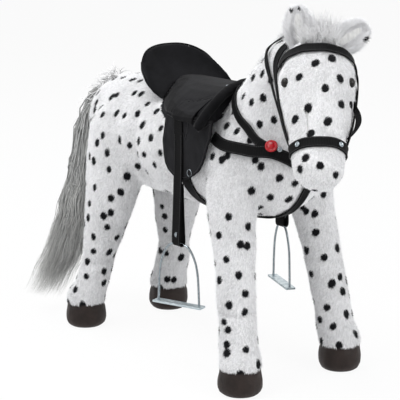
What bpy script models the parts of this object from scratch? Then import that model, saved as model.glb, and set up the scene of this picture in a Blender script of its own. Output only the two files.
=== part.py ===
"""Plush ride-on horse: a stuffed, standing horse over a welded steel tube frame, with a cloth saddle,
a webbing breastplate and bridle, and two steel stirrups that swing on their straps.

Metres, +X forward, +Z up. The horse's right side is -Y. The origin is on the floor, under the middle of
the whole horse's length and width.
"""

import math

import bmesh
import bpy
from mathutils import Vector
from mathutils.bvhtree import BVHTree

# Fits
CLEARANCE = 0.0003
DRAPE_GAP = 0.0005
SLIDE_GAP = 0.0006

# Body and stance
STANCE_LENGTH = 0.55
STANCE_WIDTH_FRONT = 0.253
STANCE_WIDTH_REAR = 0.221
BARREL_LENGTH = 0.70
BARREL_WIDTH = 0.25
BARREL_HEIGHT = 0.236
BARREL_AXIS_Z = 0.428
TORSO_REACH_REAR = 0.355

# Legs
LEG_DIAMETER = 0.076
FRONT_LEG_TOP = 0.50
FRONT_LEAN_X = 0.077
FRONT_LEAN_Y = 0.0585
HIND_LEG_TOP = 0.515
HIND_LEAN_X = 0.08
HIND_LEAN_Y = 0.0555

# Hooves and foot plugs
HOOF_DIAMETER = 0.086
HOOF_HEIGHT = 0.05
HOOF_WALL = 0.003
HOOF_SOLE = 0.003
PLUG_SOCKET_DEPTH = 0.036

# Neck and head
NECK_BASE_X = 0.20
NECK_BASE_Z = 0.459
NECK_LENGTH = 0.235
NECK_WIDTH = 0.19
NECK_DEPTH = 0.216
NECK_TURN = 0.022
NECK_RISE_DEG = 54.0
POLL_X = 0.367
POLL_Y = -0.027
POLL_Z = 0.641
HEAD_LENGTH = 0.292
HEAD_WIDTH = 0.144
HEAD_DEPTH = 0.148
HEAD_TURN_DEG = -39.0
HEAD_HANG_DEG = 38.0
EYE_DIAMETER = 0.019
EYE_BULGE = 0.006
EAR_LENGTH = 0.078
EAR_WIDTH = 0.052
EAR_THICKNESS = 0.017

# Hair
MANE_WIDTH = 0.018
MANE_HEIGHT = 0.009
FORELOCK_HEIGHT = 0.062
FORELOCK_WIDTH = 0.058
FORELOCK_THICKNESS = 0.036
TAIL_DIAMETER = 0.06
TAIL_LENGTH = 0.47
TAIL_ROOT_Z = 0.508

# Steel frame
BOW_DIAMETER = 0.018
SPINE_DIAMETER = 0.016
NECK_TUBE_DIAMETER = 0.014
BOW_CREST_Z = 0.47
BOW_BEND = 0.06

# Saddle
SEAT_REAR_X = -0.056
SEAT_LENGTH = 0.206
SEAT_WIDTH = 0.253
SEAT_RISE = 0.014
SEAT_CROWN_Z = BARREL_AXIS_Z + BARREL_HEIGHT / 2 + SEAT_RISE
SEAT_FALL = 0.057
SEAT_DIP = 0.004
SEAT_EDGE_Z = 0.500
SEAT_LEAN = 0.6
SEAT_FLARE = 0.12
FLAP_PLANE_Y = 0.127
FLAP_THICKNESS = 0.003
FLAP_TOP_Z = 0.511
FLAP_DROP = 0.126
FLAP_WIDTH = 0.16
FLAP_REAR_X = 0.034
FLAP_TUCK = 0.002
SKIRT_LENGTH = 0.096
SKIRT_REAR_X = 0.042
SKIRT_THICKNESS = 0.0022
CANTLE_FRONT_X = 0.03
CANTLE_DEPTH = 0.15
CANTLE_SPREAD = 0.194
CANTLE_HEIGHT = 0.072
CANTLE_SHIFT = 0.007
CANTLE_THICKNESS = 0.016
ROLL_DIAMETER = 0.022
SADDLE_RING_X = 0.112

# Webbing
WEBBING = 0.0022
BREAST_STRAP_WIDTH = 0.022
NECK_STRAP_WIDTH = 0.016
CHEST_STRAP_WIDTH = 0.02
GIRTH_WIDTH = 0.03
GIRTH_X = 0.092
GIRTH_START_DEG = 106.0
NOSEBAND_WIDTH = 0.019
BROWBAND_WIDTH = 0.018
CROWN_WIDTH = 0.012
REIN_WIDTH = 0.009
RIVET_DIAMETER = 0.010
RIVET_HEIGHT = 0.0016
DISC_DIAMETER = 0.024
DISC_THICKNESS = 0.003
RING_DIAMETER = 0.014
RING_WIRE = 0.0015
RING_X = 0.120
RING_Z = 0.401

# Stirrups
STIRRUP_X = 0.088
STRAP_WIDTH = 0.026
STRAP_THICKNESS = 0.0025
STRAP_END = 0.007
STRAP_LOOP_LENGTH = 0.026
STRAP_PIVOT_Z = 0.497
STRAP_TOP = 0.006
STRAP_BOTTOM_Z = 0.251
SNAP_DIAMETER = 0.011
IRON_WIRE = 0.0045
IRON_WIDTH = 0.095
IRON_HEIGHT = 0.12
IRON_TURN_DEG = 20.0
TREAD_LENGTH = 0.112
TREAD_DEPTH = 0.02
TREAD_THICKNESS = 0.004

# Mesh fineness
TORSO_SIDES = 20
LEG_SIDES = 16
LEG_PHASE = 0.3
NECK_SIDES = 16
HEAD_SIDES = 16
SMOOTH_STEPS = 4
SMOOTH_SIDES = 3
TAUT_ROUNDS = 150

X_AXIS = Vector((1, 0, 0))
Y_AXIS = Vector((0, 1, 0))
Z_AXIS = Vector((0, 0, 1))
SIDES = {"right": -1, "left": 1}

# Torso rings: along, rise of centre, half width and half height, as shares of the barrel's sizes
TORSO_SHARES = [
    (0.0, 0.10, 0.10, 0.12),
    (0.014, 0.09, 0.34, 0.36),
    (0.05, 0.06, 0.52, 0.62),
    (0.107, 0.045, 0.67, 0.80),
    (0.193, 0.02, 0.80, 0.93),
    (0.336, 0.0, 0.95, 1.0),
    (0.507, 0.0, 1.0, 1.0),
    (0.65, 0.0, 0.99, 1.0),
    (0.764, 0.0, 0.96, 1.0),
    (0.85, 0.02, 0.90, 0.94),
    (0.907, 0.05, 0.78, 0.80),
    (0.95, 0.08, 0.58, 0.56),
    (0.979, 0.10, 0.34, 0.32),
    (1.0, 0.10, 0.10, 0.10),
]

# Leg rings: height, lean forward or back, lean inward, half side and half fore size, as shares
FRONT_LEG_SHARES = [
    (0.10, 0.04, 0.03, 1.05, 1.05),
    (0.15, 0.10, 0.06, 1.02, 1.02),
    (0.25, 0.22, 0.11, 0.95, 0.95),
    (0.36, 0.36, 0.20, 0.98, 0.98),
    (0.48, 0.50, 0.31, 1.01, 1.01),
    (0.60, 0.70, 0.42, 1.12, 1.16),
    (0.70, 0.86, 0.54, 1.22, 1.45),
    (0.78, 0.93, 0.66, 1.22, 1.70),
    (0.85, 0.96, 0.82, 1.08, 1.75),
    (0.91, 0.98, 1.02, 0.90, 1.55),
    (0.96, 1.0, 1.20, 0.62, 1.05),
    (0.98, 1.0, 1.25, 0.30, 0.50),
]
HIND_LEG_SHARES = [
    (0.097, 0.03, 0.03, 1.05, 1.05),
    (0.147, 0.10, 0.05, 1.0, 1.0),
    (0.235, 0.32, 0.14, 0.97, 0.97),
    (0.314, 0.47, 0.21, 0.90, 0.90),
    (0.392, 0.58, 0.29, 1.05, 1.14),
    (0.49, 0.74, 0.37, 1.16, 1.53),
    (0.608, 0.88, 0.46, 1.24, 1.98),
    (0.70, 0.97, 0.55, 1.30, 2.28),
    (0.785, 1.02, 0.64, 1.36, 2.36),
    (0.865, 1.04, 0.76, 1.34, 2.26),
    (0.925, 1.04, 0.94, 1.16, 1.96),
    (0.965, 1.02, 1.16, 0.86, 1.45),
    (0.985, 1.0, 1.30, 0.46, 0.80),
]

# Neck rings: along, turn to the side, half width, half depth
NECK_SHARES = [
    (-0.13, 0.0, 0.90, 0.90),
    (0.0, 0.0, 1.0, 1.0),
    (0.255, 0.05, 0.95, 0.957),
    (0.49, 0.25, 0.84, 0.85),
    (0.723, 0.55, 0.72, 0.74),
    (0.894, 0.85, 0.62, 0.61),
    (0.97, 0.95, 0.42, 0.40),
    (1.0, 1.0, 0.16, 0.15),
]

# Head rings: along from the crown to the nose, rise of centre, half width, half depth
HEAD_SHARES = [
    (0.0, 0.0, 0.14, 0.14),
    (0.02, 0.0, 0.40, 0.42),
    (0.062, 0.0, 0.66, 0.66),
    (0.12, 0.0, 0.86, 0.84),
    (0.205, -0.05, 0.97, 0.96),
    (0.274, -0.08, 1.0, 1.0),
    (0.394, -0.10, 0.96, 0.97),
    (0.565, -0.05, 0.85, 0.78),
    (0.668, 0.0, 0.74, 0.66),
    (0.805, 0.03, 0.67, 0.60),
    (0.908, 0.03, 0.62, 0.55),
    (0.966, 0.02, 0.45, 0.38),
    (1.0, 0.0, 0.16, 0.13),
]
CROWN_SHARE = 0.103

# Ears: side, root to the left, root to the brow, lean out, lean to the brow, length
EAR_LEANS = [("right", -0.42, 0.25, -0.12, -0.10, 1.0), ("left", 0.52, 0.25, 1.50, 0.0, 0.92)]

# Ear rings: along, half width, half thickness
EAR_SHARES = [
    (-0.12, 0.60, 0.8),
    (0.0, 0.74, 1.0),
    (0.20, 0.94, 1.0),
    (0.42, 1.0, 0.85),
    (0.66, 0.86, 0.65),
    (0.86, 0.50, 0.45),
    (1.0, 0.10, 0.18),
]

# Tail rings: down from the root, back, to the right, half size
TAIL_SHARES = [
    (0.0, 0.0, 0.0, 0.30),
    (0.02, 0.30, 0.02, 0.62),
    (0.06, 0.49, 0.06, 0.84),
    (0.13, 0.56, 0.12, 0.93),
    (0.29, 0.55, 0.26, 0.97),
    (0.46, 0.50, 0.44, 1.0),
    (0.63, 0.47, 0.62, 0.95),
    (0.80, 0.56, 0.80, 0.86),
    (0.93, 0.74, 0.94, 0.66),
    (1.0, 0.84, 1.0, 0.30),
]
TAIL_ROOT_SHARE = 0.90
TAIL_SWEEP_SHARE = 0.23

# Seat plan: along from the rear, half width
SEAT_PLAN_SHARES = [
    (0.0, 0.36), (0.10, 0.60), (0.20, 0.75), (0.34, 0.89), (0.46, 1.0), (1.0, 1.0),
]
# Seat section: out from the middle, fall of the top
SEAT_SECTION_SHARES = [
    (0.0, 0.0), (0.28, 0.01), (0.55, 0.13), (0.75, 0.33), (0.89, 0.54), (1.0, 0.76),
]
# Flap outline: down from the top, rear edge, front edge
FLAP_SHARES = [
    (0.0, 0.075, 0.98), (0.23, 0.04, 0.956), (0.46, 0.0, 0.87), (0.68, 0.02, 0.795),
    (0.81, 0.05, 0.71), (0.90, 0.105, 0.61), (0.965, 0.20, 0.50), (1.0, 0.30, 0.42),
]
# Skirt section: out from the seat's middle, as a share of its half width, and fall as a share of its fall
SKIRT_SHARES = [
    (0.60, 0.184), (0.76, 0.342), (0.90, 0.53), (1.005, 0.68), (1.080, 0.86), (1.092, 1.24),
]
# Cantle: back, out and up of the rim, back and out of the foot
CANTLE_SHARES = [
    (0.24, 1.04, -0.36, 0.15, 1.02),
    (0.34, 1.04, -0.18, 0.20, 1.00),
    (0.53, 1.02, 0.18, 0.28, 0.96),
    (0.68, 0.96, 0.44, 0.37, 0.87),
    (0.80, 0.86, 0.66, 0.43, 0.76),
    (0.90, 0.68, 0.84, 0.50, 0.60),
    (0.96, 0.46, 0.94, 0.55, 0.42),
    (0.99, 0.23, 0.99, 0.58, 0.22),
    (1.0, 0.0, 1.0, 0.587, 0.0),
]
# Front roll: forward from the seat's front, out as a share of the seat's half width, up from its crown
ROLL_SHARES = [
    (0.96, 0.0, 0.32), (1.01, 0.32, 0.22), (1.07, 0.60, -0.08), (1.12, 0.81, -0.55), (1.13, 0.97, -1.25),
    (1.11, 1.09, -2.10), (1.06, 1.127, -2.95),
]

# Stirrup iron outline: out from the middle and down from the top
IRON_SHARES = [
    (0.33, 0.0), (0.48, 0.035), (0.63, 0.11), (0.76, 0.21),
    (0.87, 0.34), (0.94, 0.50), (0.98, 0.72), (1.0, 1.0),
]

# Breastplate routes: forward, outward and upward shares of half the stance, half the barrel and its back.
BREAST_STRAP_SHARES = [
    (0.66, 1.08, 0.88), (0.78, 1.08, 0.872), (0.92, 1.06, 0.866), (1.06, 1.00, 0.866),
    (1.18, 0.80, 0.862), (1.25, 0.50, 0.825), (1.27, 0.22, 0.785), (1.28, 0.13, 0.765),
]
NECK_STRAP_SHARES = [
    (0.60, 0.40, 1.03), (0.70, 0.62, 0.99), (0.83, 0.80, 0.945),
    (1.00, 0.86, 0.905), (1.12, 0.84, 0.885), (1.225, 0.76, 0.872),
]
CHEST_STRAP_SHARES = [(0.62, -0.02), (0.88, -0.01), (1.05, 0.06), (1.16, 0.14), (1.23, 0.195)]
BREAST_RIVET_SHARE = (1.235, 0.72, 0.874)
ROUND_DISC_SHARE = (1.18, -0.80, 0.905)

# Bridle routes: shares of the head's length, half its width and half its depth, from one side to the middle.
NOSEBAND_SHARE = 0.765
NOSEBAND_RIVET_SHARE = (0.765, 0.66, 0.62)
CROWN_STRAP_SHARES = [
    (0.69, 0.86, 0.05), (0.58, 0.98, 0.02), (0.45, 1.05, 0.0), (0.31, 1.08, -0.03), (0.18, 1.04, -0.12),
    (0.08, 0.90, -0.24), (-0.01, 0.66, -0.34), (-0.09, 0.34, -0.36), (-0.11, 0.0, -0.36),
]
BROWBAND_SHARES = [
    (0.17, 1.05, -0.04), (0.16, 0.94, 0.30), (0.15, 0.62, 0.72), (0.145, 0.32, 0.95), (0.145, 0.0, 1.02),
]
REIN_SHARES = [
    (0.69, 0.84, -0.22), (0.58, 1.0, -0.27), (0.46, 1.06, -0.32), (0.34, 1.08, -0.38), (0.21, 1.08, -0.46),
    (0.09, 0.98, -0.60), (-0.02, 0.74, -0.70), (-0.13, 0.38, -0.72), (-0.16, 0.0, -0.72),
]

# Forelock rings: height, width and thickness as shares of the tuft. Hoof rings: radius and height.
FORELOCK_SHARES = [(-0.3, 0.5, 0.7), (0.0, 0.8, 1.0), (0.35, 1.0, 1.0), (0.7, 0.85, 0.8), (1.0, 0.4, 0.35)]
FORELOCK_ROOT_SHARE = (CROWN_SHARE / 3, 0.05, 0.12)
EAR_ROOT_SHARE = 0.035
HOOF_SHARES = [(0.90, 0.0), (0.975, 0.07), (1.0, 0.22), (0.985, 0.50), (0.945, 0.80), (0.92, 1.0)]
HOOF_BORE_SHARE = 0.90
HOOF_SIDES = 20

# Seat: stations across, and the saddle ring's place beside the middle. Cantle: how it thins and bellies.
SEAT_ACROSS_SHARES = (-1.0, -0.89, -0.75, -0.55, -0.28, 0.0, 0.28, 0.55, 0.75, 0.89, 1.0)
SEAT_STATIONS = 9
SADDLE_RING_SHARE = 0.2
CANTLE_THINNING_SHARE = 0.30
CANTLE_RIM_SHARE = 0.45
CANTLE_BELLY_SHARE = 0.7


def clear_scene():
    """Remove whatever the file opened with."""
    for thing in list(bpy.data.objects):
        bpy.data.objects.remove(thing, do_unlink=True)


def finish(name, red, green, blue, roughness, metallic=0.0):
    """A plain surface colour for one sub-part."""
    surface = bpy.data.materials.new(name)
    surface.use_nodes = True
    shader = surface.node_tree.nodes["Principled BSDF"]
    shader.inputs["Base Color"].default_value = (red, green, blue, 1.0)
    shader.inputs["Roughness"].default_value = roughness
    shader.inputs["Metallic"].default_value = metallic
    return surface


def new_solid(name, points, faces, look=None, smooth=True):
    """One closed body of triangles from points and faces, with its faces pointing outwards."""
    mesh = bpy.data.meshes.new(name)
    mesh.from_pydata([tuple(point) for point in points], [], faces)
    work = bmesh.new()
    work.from_mesh(mesh)
    bmesh.ops.triangulate(work, faces=work.faces)
    bmesh.ops.recalc_face_normals(work, faces=work.faces)
    work.to_mesh(mesh)
    work.free()
    solid = bpy.data.objects.new(name, mesh)
    bpy.context.collection.objects.link(solid)
    if look:
        mesh.materials.append(look)
    if smooth:
        mesh.shade_smooth()
        mesh.set_sharp_from_angle(angle=math.radians(50))
    return solid


def hidden(thing):
    """Mark an object as a cutter or a guide."""
    thing.hide_render = True
    thing.display_type = "WIRE"
    return thing


def grown(solid, amount):
    """A hidden copy of a solid, swollen by an amount along its normals."""
    mesh = solid.data.copy()
    mesh.materials.clear()
    normals = [vertex.normal.copy() for vertex in mesh.vertices]
    for vertex, normal in zip(mesh.vertices, normals):
        vertex.co = vertex.co + normal * amount
    copy = bpy.data.objects.new(solid.name + "_cutter", mesh)
    bpy.context.collection.objects.link(copy)
    return hidden(copy)


def cut(solid, *cutters):
    """Take each cutter away from the solid."""
    for cutter in cutters:
        modifier = solid.modifiers.new(cutter.name, "BOOLEAN")
        modifier.operation = "DIFFERENCE"
        modifier.solver = "EXACT"
        modifier.object = cutter


def blend_rows(rows, steps):
    """The rows with steps between each two of them, on a Catmull-Rom curve."""
    if steps == 1:
        return rows
    result = []
    last = len(rows) - 1
    for i in range(last):
        before, here = rows[max(i - 1, 0)], rows[i]
        there, after = rows[i + 1], rows[min(i + 2, last)]
        for j in range(steps):
            t = j / steps
            row = []
            for a, b, c, d in zip(before, here, there, after):
                square, cube = 2 * a - 5 * b + 4 * c - d, 3 * b - a - 3 * c + d
                row.append((2 * b + (c - a) * t + square * t**2 + cube * t**3) / 2)
            result.append(tuple(row))
    result.append(rows[last])
    return result


def spread(points, count):
    """Points at even distances along a smooth curve through the given points."""
    fine = [Vector(p) for p in blend_rows([tuple(p) for p in points], 12)]
    travelled = [0.0]
    for a, b in zip(fine, fine[1:]):
        travelled.append(travelled[-1] + (b - a).length)
    result = []
    at = 0
    for i in range(count):
        goal = travelled[-1] * i / (count - 1)
        while at < len(fine) - 2 and travelled[at + 1] < goal:
            at += 1
        share = (goal - travelled[at]) / (travelled[at + 1] - travelled[at])
        result.append(fine[at].lerp(fine[at + 1], share))
    return result


def loft(name, rings, side, front, around, look=None, steps=1, phase=0.0):
    """A closed body through oval rings, each (x, y, z, half side, half front)."""
    rings = blend_rows(rings, steps)
    points = []
    for x, y, z, half_side, half_front in rings:
        centre = Vector((x, y, z))
        for i in range(around):
            turn = math.tau * (i + phase) / around
            points.append(centre + side * math.sin(turn) * half_side + front * math.cos(turn) * half_front)
    faces = [list(range(around))[::-1], [len(points) - around + i for i in range(around)]]
    for ring in range(len(rings) - 1):
        for i in range(around):
            j = (i + 1) % around
            low, high = ring * around, (ring + 1) * around
            faces.append([low + i, low + j, high + j, high + i])
    return new_solid(name, points, faces, look)


def tube(name, points, radius, look=None, around=2):
    """A round bar along points: a curve with a bevel and filled caps, made a mesh."""
    curve = bpy.data.curves.new(name, "CURVE")
    curve.dimensions = "3D"
    curve.bevel_depth = radius
    curve.bevel_resolution = around
    curve.use_fill_caps = True
    spline = curve.splines.new("POLY")
    spline.points.add(len(points) - 1)
    for place, point in zip(spline.points, points):
        place.co = (*point, 1.0)
    guide = bpy.data.objects.new(name, curve)
    bpy.context.collection.objects.link(guide)
    mesh = bpy.data.meshes.new_from_object(guide.evaluated_get(bpy.context.evaluated_depsgraph_get()))
    bpy.data.objects.remove(guide)
    work = bmesh.new()
    work.from_mesh(mesh)
    bmesh.ops.remove_doubles(work, verts=work.verts, dist=CLEARANCE / 100)
    bmesh.ops.recalc_face_normals(work, faces=work.faces)
    work.to_mesh(mesh)
    work.free()
    solid = bpy.data.objects.new(name, mesh)
    bpy.context.collection.objects.link(solid)
    mesh.materials.clear()
    if look:
        mesh.materials.append(look)
    mesh.shade_smooth()
    mesh.set_sharp_from_angle(angle=math.radians(50))
    return solid


class Surface:
    """An outer skin on which straps and pads are laid."""

    def __init__(self, solids, facets=()):
        self.tree = self.tree_of(solids)
        self.trees = [self.tree, self.tree_of(facets)] if facets else [self.tree]

    def tree_of(self, solids):
        """The faces of several solids, ready for measuring."""
        points, faces = [], []
        for solid in solids:
            start = len(points)
            points += [vertex.co.copy() for vertex in solid.data.vertices]
            faces += [[start + i for i in face.vertices] for face in solid.data.polygons]
        return BVHTree.FromPolygons(points, faces)

    def nearest(self, point):
        """The skin's nearest point and its outward normal."""
        place, normal, _, _ = self.tree.find_nearest(Vector(point))
        away = Vector(point) - place
        outside = away.length > DRAPE_GAP and away.dot(normal) > 0
        return place, away.normalized() if outside else normal

    def smooth_normal(self, point, reach):
        """The normal at a point, averaged over its neighbourhood."""
        total = Vector()
        for dx, dy, dz in ((0, 0, 0), (1, 0, 0), (-1, 0, 0), (0, 1, 0), (0, -1, 0), (0, 0, 1), (0, 0, -1)):
            total += self.nearest(Vector(point) + Vector((dx, dy, dz)) * reach)[1]
        return total.normalized()

    def height(self, base, normal, reach):
        """How far the skin stands above a base point, looking down on it from a reach away."""
        heights = []
        for tree in self.trees:
            hit, _, _, away = tree.ray_cast(base + normal * reach, -normal, reach * 2)
            heights.append(reach - away if hit else -reach / 2)
        return max(heights)

    def side_reach(self, x, side, z):
        """How far out to one side the skin stands at a place."""
        return self.height(Vector((x, 0, z)), Vector((0, side, 0)), STANCE_WIDTH_FRONT)

    def top_reach(self, x, y):
        """How high the skin stands at a place."""
        return self.height(Vector((x, y, 0)), Z_AXIS, STANCE_LENGTH * 2)


def one_skin(solids, facets):
    """The outside of several solids that run into each other, and of their plainer copies."""
    first = solids[0]
    for other in solids[1:]:
        modifier = first.modifiers.new(other.name, "BOOLEAN")
        modifier.operation = "UNION"
        modifier.solver = "EXACT"
        modifier.object = other
    graph = bpy.context.evaluated_depsgraph_get()
    mesh = bpy.data.meshes.new_from_object(first.evaluated_get(graph))
    first.modifiers.clear()
    whole = bpy.data.objects.new("skin_guide", mesh)
    bpy.context.collection.objects.link(whole)
    return Surface([hidden(whole)], facets)


def pulled_taut(bases, normals, heights, closed):
    """Heights over the bases that carry a strap straight across each hollow."""
    total = len(bases)
    raised = list(heights)
    for _ in range(TAUT_ROUNDS):
        points = [base + normal * height for base, normal, height in zip(bases, normals, raised)]
        for i in range(total):
            if not closed and i in (0, total - 1):
                continue
            middle = (points[i - 1] + points[(i + 1) % total]) / 2
            lift = (middle - points[i]).dot(normals[i])
            raised[i] = max(raised[i] + lift / 2, heights[i])
            points[i] = bases[i] + normals[i] * raised[i]
    return raised


def strap(name, surface, route, width, thickness, count, look, lift=0.0, closed=False):
    """Webbing laid on a skin along a route of points just off it, taut over its hollows."""
    points = spread(route, count)
    if closed:
        points = points[:-1]
    total = len(points)
    centres = [surface.nearest(point)[0] for point in points]
    normals = [surface.smooth_normal(point, width / 2) for point in points]
    lines = []
    for share in (-1, 0, 1):
        bases, heights = [], []
        for i, (place, normal) in enumerate(zip(centres, normals)):
            after = centres[(i + 1) % total] if closed or i < total - 1 else place
            before = centres[i - 1] if closed or i > 0 else place
            base = place + (after - before).cross(normal).normalized() * share * width / 2
            bases.append(base)
            heights.append(max(surface.height(base, normal, width), -width / 6))
        for i in range(total if closed else total - 1):
            j = (i + 1) % total
            middle = (bases[i] + bases[j]) / 2
            needed = surface.height(middle, (normals[i] + normals[j]).normalized(), width)
            short = max(needed - (heights[i] + heights[j]) / 2, 0.0)
            heights[i] += short
            heights[j] += short
        heights = [height + DRAPE_GAP + lift for height in heights]
        raised = pulled_taut(bases, normals, heights, closed)
        lines.append([base + normal * height for base, normal, height in zip(bases, normals, raised)])
    body, faces = [], []
    for i, normal in enumerate(normals):
        lows = [line[i] for line in lines]
        body += lows + [low + normal * thickness for low in lows[::-1]]
    for i in range(total if closed else total - 1):
        j = (i + 1) % total
        for k in range(6):
            n = (k + 1) % 6
            faces.append([i * 6 + k, i * 6 + n, j * 6 + n, j * 6 + k])
    if not closed:
        faces.append([5, 4, 3, 2, 1, 0])
        faces.append([(total - 1) * 6 + k for k in range(6)])
    return new_solid(name, body, faces, look)


def button(name, place, normal, diameter, height, look, around=14):
    """A low round head standing on a surface."""
    normal = normal.normalized()
    across = normal.orthogonal().normalized()
    along = normal.cross(across)
    radius = diameter / 2
    profile = [(1.0, 0.0), (1.0, 0.45), (0.8, 0.85), (0.4, 1.0)]
    points = []
    for out_share, up_share in profile:
        for i in range(around):
            turn = math.tau * i / around
            ring = across * math.cos(turn) + along * math.sin(turn)
            points.append(place + ring * radius * out_share + normal * height * up_share)
    faces = [list(range(around))[::-1], [3 * around + i for i in range(around)]]
    for level in range(3):
        for i in range(around):
            j = (i + 1) % around
            low, high = level * around, (level + 1) * around
            faces.append([low + i, low + j, high + j, high + i])
    return new_solid(name, points, faces, look)


def stud(name, straps, aim, diameter, height, look):
    """A round head set on the outer face of one or more straps, seated just clear of them."""
    surface = Surface(straps)
    place, normal = surface.nearest(aim)
    normal = surface.smooth_normal(aim, diameter / 4)
    highest = 0.0
    across = normal.orthogonal().normalized()
    for i in range(8):
        turn = math.tau * i / 8
        ring = across * math.cos(turn) + normal.cross(across) * math.sin(turn)
        foot, _ = surface.nearest(place + ring * diameter / 2)
        highest = max(highest, (foot - place).dot(normal))
    return button(name, place + normal * (highest + CLEARANCE), normal, diameter, height, look)


# Forms: the rings of each soft part, in metres


def torso_rings():
    rings = []
    for along, rise, wide, high in TORSO_SHARES:
        x = -TORSO_REACH_REAR + along * BARREL_LENGTH
        z = BARREL_AXIS_Z + rise * BARREL_HEIGHT
        rings.append((x, 0.0, z, wide * BARREL_WIDTH / 2, high * BARREL_HEIGHT / 2))
    return rings


def leg_rings(front, side):
    """Rings up one leg, from the hoof's top edge."""
    rings = []
    table = FRONT_LEG_SHARES if front else HIND_LEG_SHARES
    top = FRONT_LEG_TOP if front else HIND_LEG_TOP
    for high, lean_x, lean_y, wide, deep in table:
        if front:
            x = STANCE_LENGTH / 2 - lean_x * FRONT_LEAN_X
            y = STANCE_WIDTH_FRONT / 2 - lean_y * FRONT_LEAN_Y
        else:
            x = -STANCE_LENGTH / 2 + lean_x * HIND_LEAN_X
            y = STANCE_WIDTH_REAR / 2 - lean_y * HIND_LEAN_Y
        z = max(high * top, HOOF_HEIGHT + CLEARANCE)
        rings.append((x, side * y, z, wide * LEG_DIAMETER / 2, deep * LEG_DIAMETER / 2))
    return rings


def neck_frame():
    rise = math.radians(NECK_RISE_DEG)
    along = Vector((math.cos(rise), 0, math.sin(rise)))
    crest = Vector((-math.sin(rise), 0, math.cos(rise)))
    return Vector((NECK_BASE_X, 0, NECK_BASE_Z)), along, crest


def neck_rings():
    base, along, _ = neck_frame()
    rings = []
    for share, turn, wide, deep in NECK_SHARES:
        centre = base + along * share * NECK_LENGTH - Y_AXIS * turn * NECK_TURN
        rings.append((*centre, wide * NECK_WIDTH / 2, deep * NECK_DEPTH / 2))
    return rings


def head_frame():
    """The poll, and the head's directions: to the nose, to its left, and out of its brow."""
    turn, hang = math.radians(HEAD_TURN_DEG), math.radians(HEAD_HANG_DEG)
    ahead = Vector((math.cos(turn), math.sin(turn), 0))
    nose = ahead * math.sin(hang) - Z_AXIS * math.cos(hang)
    brow = ahead * math.cos(hang) + Z_AXIS * math.sin(hang)
    return Vector((POLL_X, POLL_Y, POLL_Z)), nose, Vector((-ahead.y, ahead.x, 0)), brow


def head_place(along_share, left_share, brow_share):
    """A place by the head, in shares of its length, half width and half depth."""
    poll, nose, left, brow = head_frame()
    along = (along_share - CROWN_SHARE) * HEAD_LENGTH
    return poll + nose * along + left * left_share * HEAD_WIDTH / 2 + brow * brow_share * HEAD_DEPTH / 2


def head_rings():
    rings = []
    for share, rise, wide, deep in HEAD_SHARES:
        centre = head_place(share, 0.0, rise)
        rings.append((*centre, wide * HEAD_WIDTH / 2, deep * HEAD_DEPTH / 2))
    return rings


def torso_place(x, degrees, lift):
    """A place on the barrel at x, turned from its top by an angle, and its outward normal."""
    rings = blend_rows(torso_rings(), SMOOTH_STEPS)
    for low, high in zip(rings, rings[1:]):
        if low[0] <= x <= high[0]:
            break
    share = (x - low[0]) / (high[0] - low[0])
    _, _, z, wide, deep = (a + (b - a) * share for a, b in zip(low, high))
    turn = math.radians(degrees)
    normal = Vector((0, math.sin(turn) / wide, math.cos(turn) / deep)).normalized()
    return Vector((x, wide * math.sin(turn), z + deep * math.cos(turn))) + normal * lift, normal


def body_place(x_share, y_share, z_share):
    """A place by the body, in shares of half the stance, half the barrel's width and the back's height."""
    back = BARREL_AXIS_Z + BARREL_HEIGHT / 2
    return Vector((x_share * STANCE_LENGTH / 2, y_share * BARREL_WIDTH / 2, z_share * back))


def make_looks():
    return {
        "plush": finish("white_plush", 0.78, 0.78, 0.80, 0.95),
        "hair": finish("grey_hair", 0.35, 0.35, 0.36, 0.9),
        "hoof": finish("brown_vinyl", 0.045, 0.032, 0.026, 0.5),
        "cloth": finish("black_suede_cloth", 0.012, 0.012, 0.013, 0.9),
        "webbing": finish("black_webbing", 0.009, 0.009, 0.010, 0.75),
        "steel": finish("zinc_plated_steel", 0.62, 0.65, 0.68, 0.3, 1.0),
        "tube": finish("black_painted_steel", 0.03, 0.03, 0.03, 0.5, 0.2),
        "eye": finish("black_eye_plastic", 0.004, 0.004, 0.005, 0.08),
        "red": finish("red_gloss_plastic", 0.52, 0.008, 0.015, 0.18),
        "plug": finish("grey_foot_plug", 0.18, 0.18, 0.18, 0.6),
    }


def make_soft_body(looks):
    """Torso, legs, neck and head, and a smoother copy of each for laying straps on."""
    table = {"body_plush": (torso_rings(), Y_AXIS, Z_AXIS, TORSO_SIDES)}
    for word, side in SIDES.items():
        table["front_leg_" + word] = (leg_rings(True, side), Y_AXIS, X_AXIS, LEG_SIDES)
        table["hind_leg_" + word] = (leg_rings(False, side), Y_AXIS, X_AXIS, LEG_SIDES)
    _, _, crest = neck_frame()
    table["neck_plush"] = (neck_rings(), Y_AXIS, crest, NECK_SIDES)
    _, _, left, brow = head_frame()
    table["head_plush"] = (head_rings(), left, brow, HEAD_SIDES)
    parts, smooth = {}, {}
    for name, (rings, side, front, around) in table.items():
        phase = LEG_PHASE if "leg" in name else 0.0
        parts[name] = loft(name, rings, side, front, around, looks["plush"], phase=phase)
        fine = loft(name + "_guide", rings, side, front, around * SMOOTH_SIDES, steps=SMOOTH_STEPS)
        smooth[name] = hidden(fine)
    return parts, smooth


def make_ears(looks):
    """Two leaf-shaped ears: the right one upright, the left one turned out."""
    _, _, left, brow = head_frame()
    ears = {}
    for word, left_share, brow_share, out, back, size in EAR_LEANS:
        root = head_place(EAR_ROOT_SHARE, left_share, brow_share)
        along = (Z_AXIS + left * out + brow * back).normalized()
        side = (left - along * left.dot(along)).normalized()
        front = side.cross(along)
        rings = []
        for share, wide, thick in EAR_SHARES:
            centre = root + along * share * size * EAR_LENGTH
            rings.append((*centre, wide * EAR_WIDTH / 2, thick * EAR_THICKNESS / 2))
        ears[word] = loft("ear_" + word, rings, side, front, 12, looks["plush"])
    return ears


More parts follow.
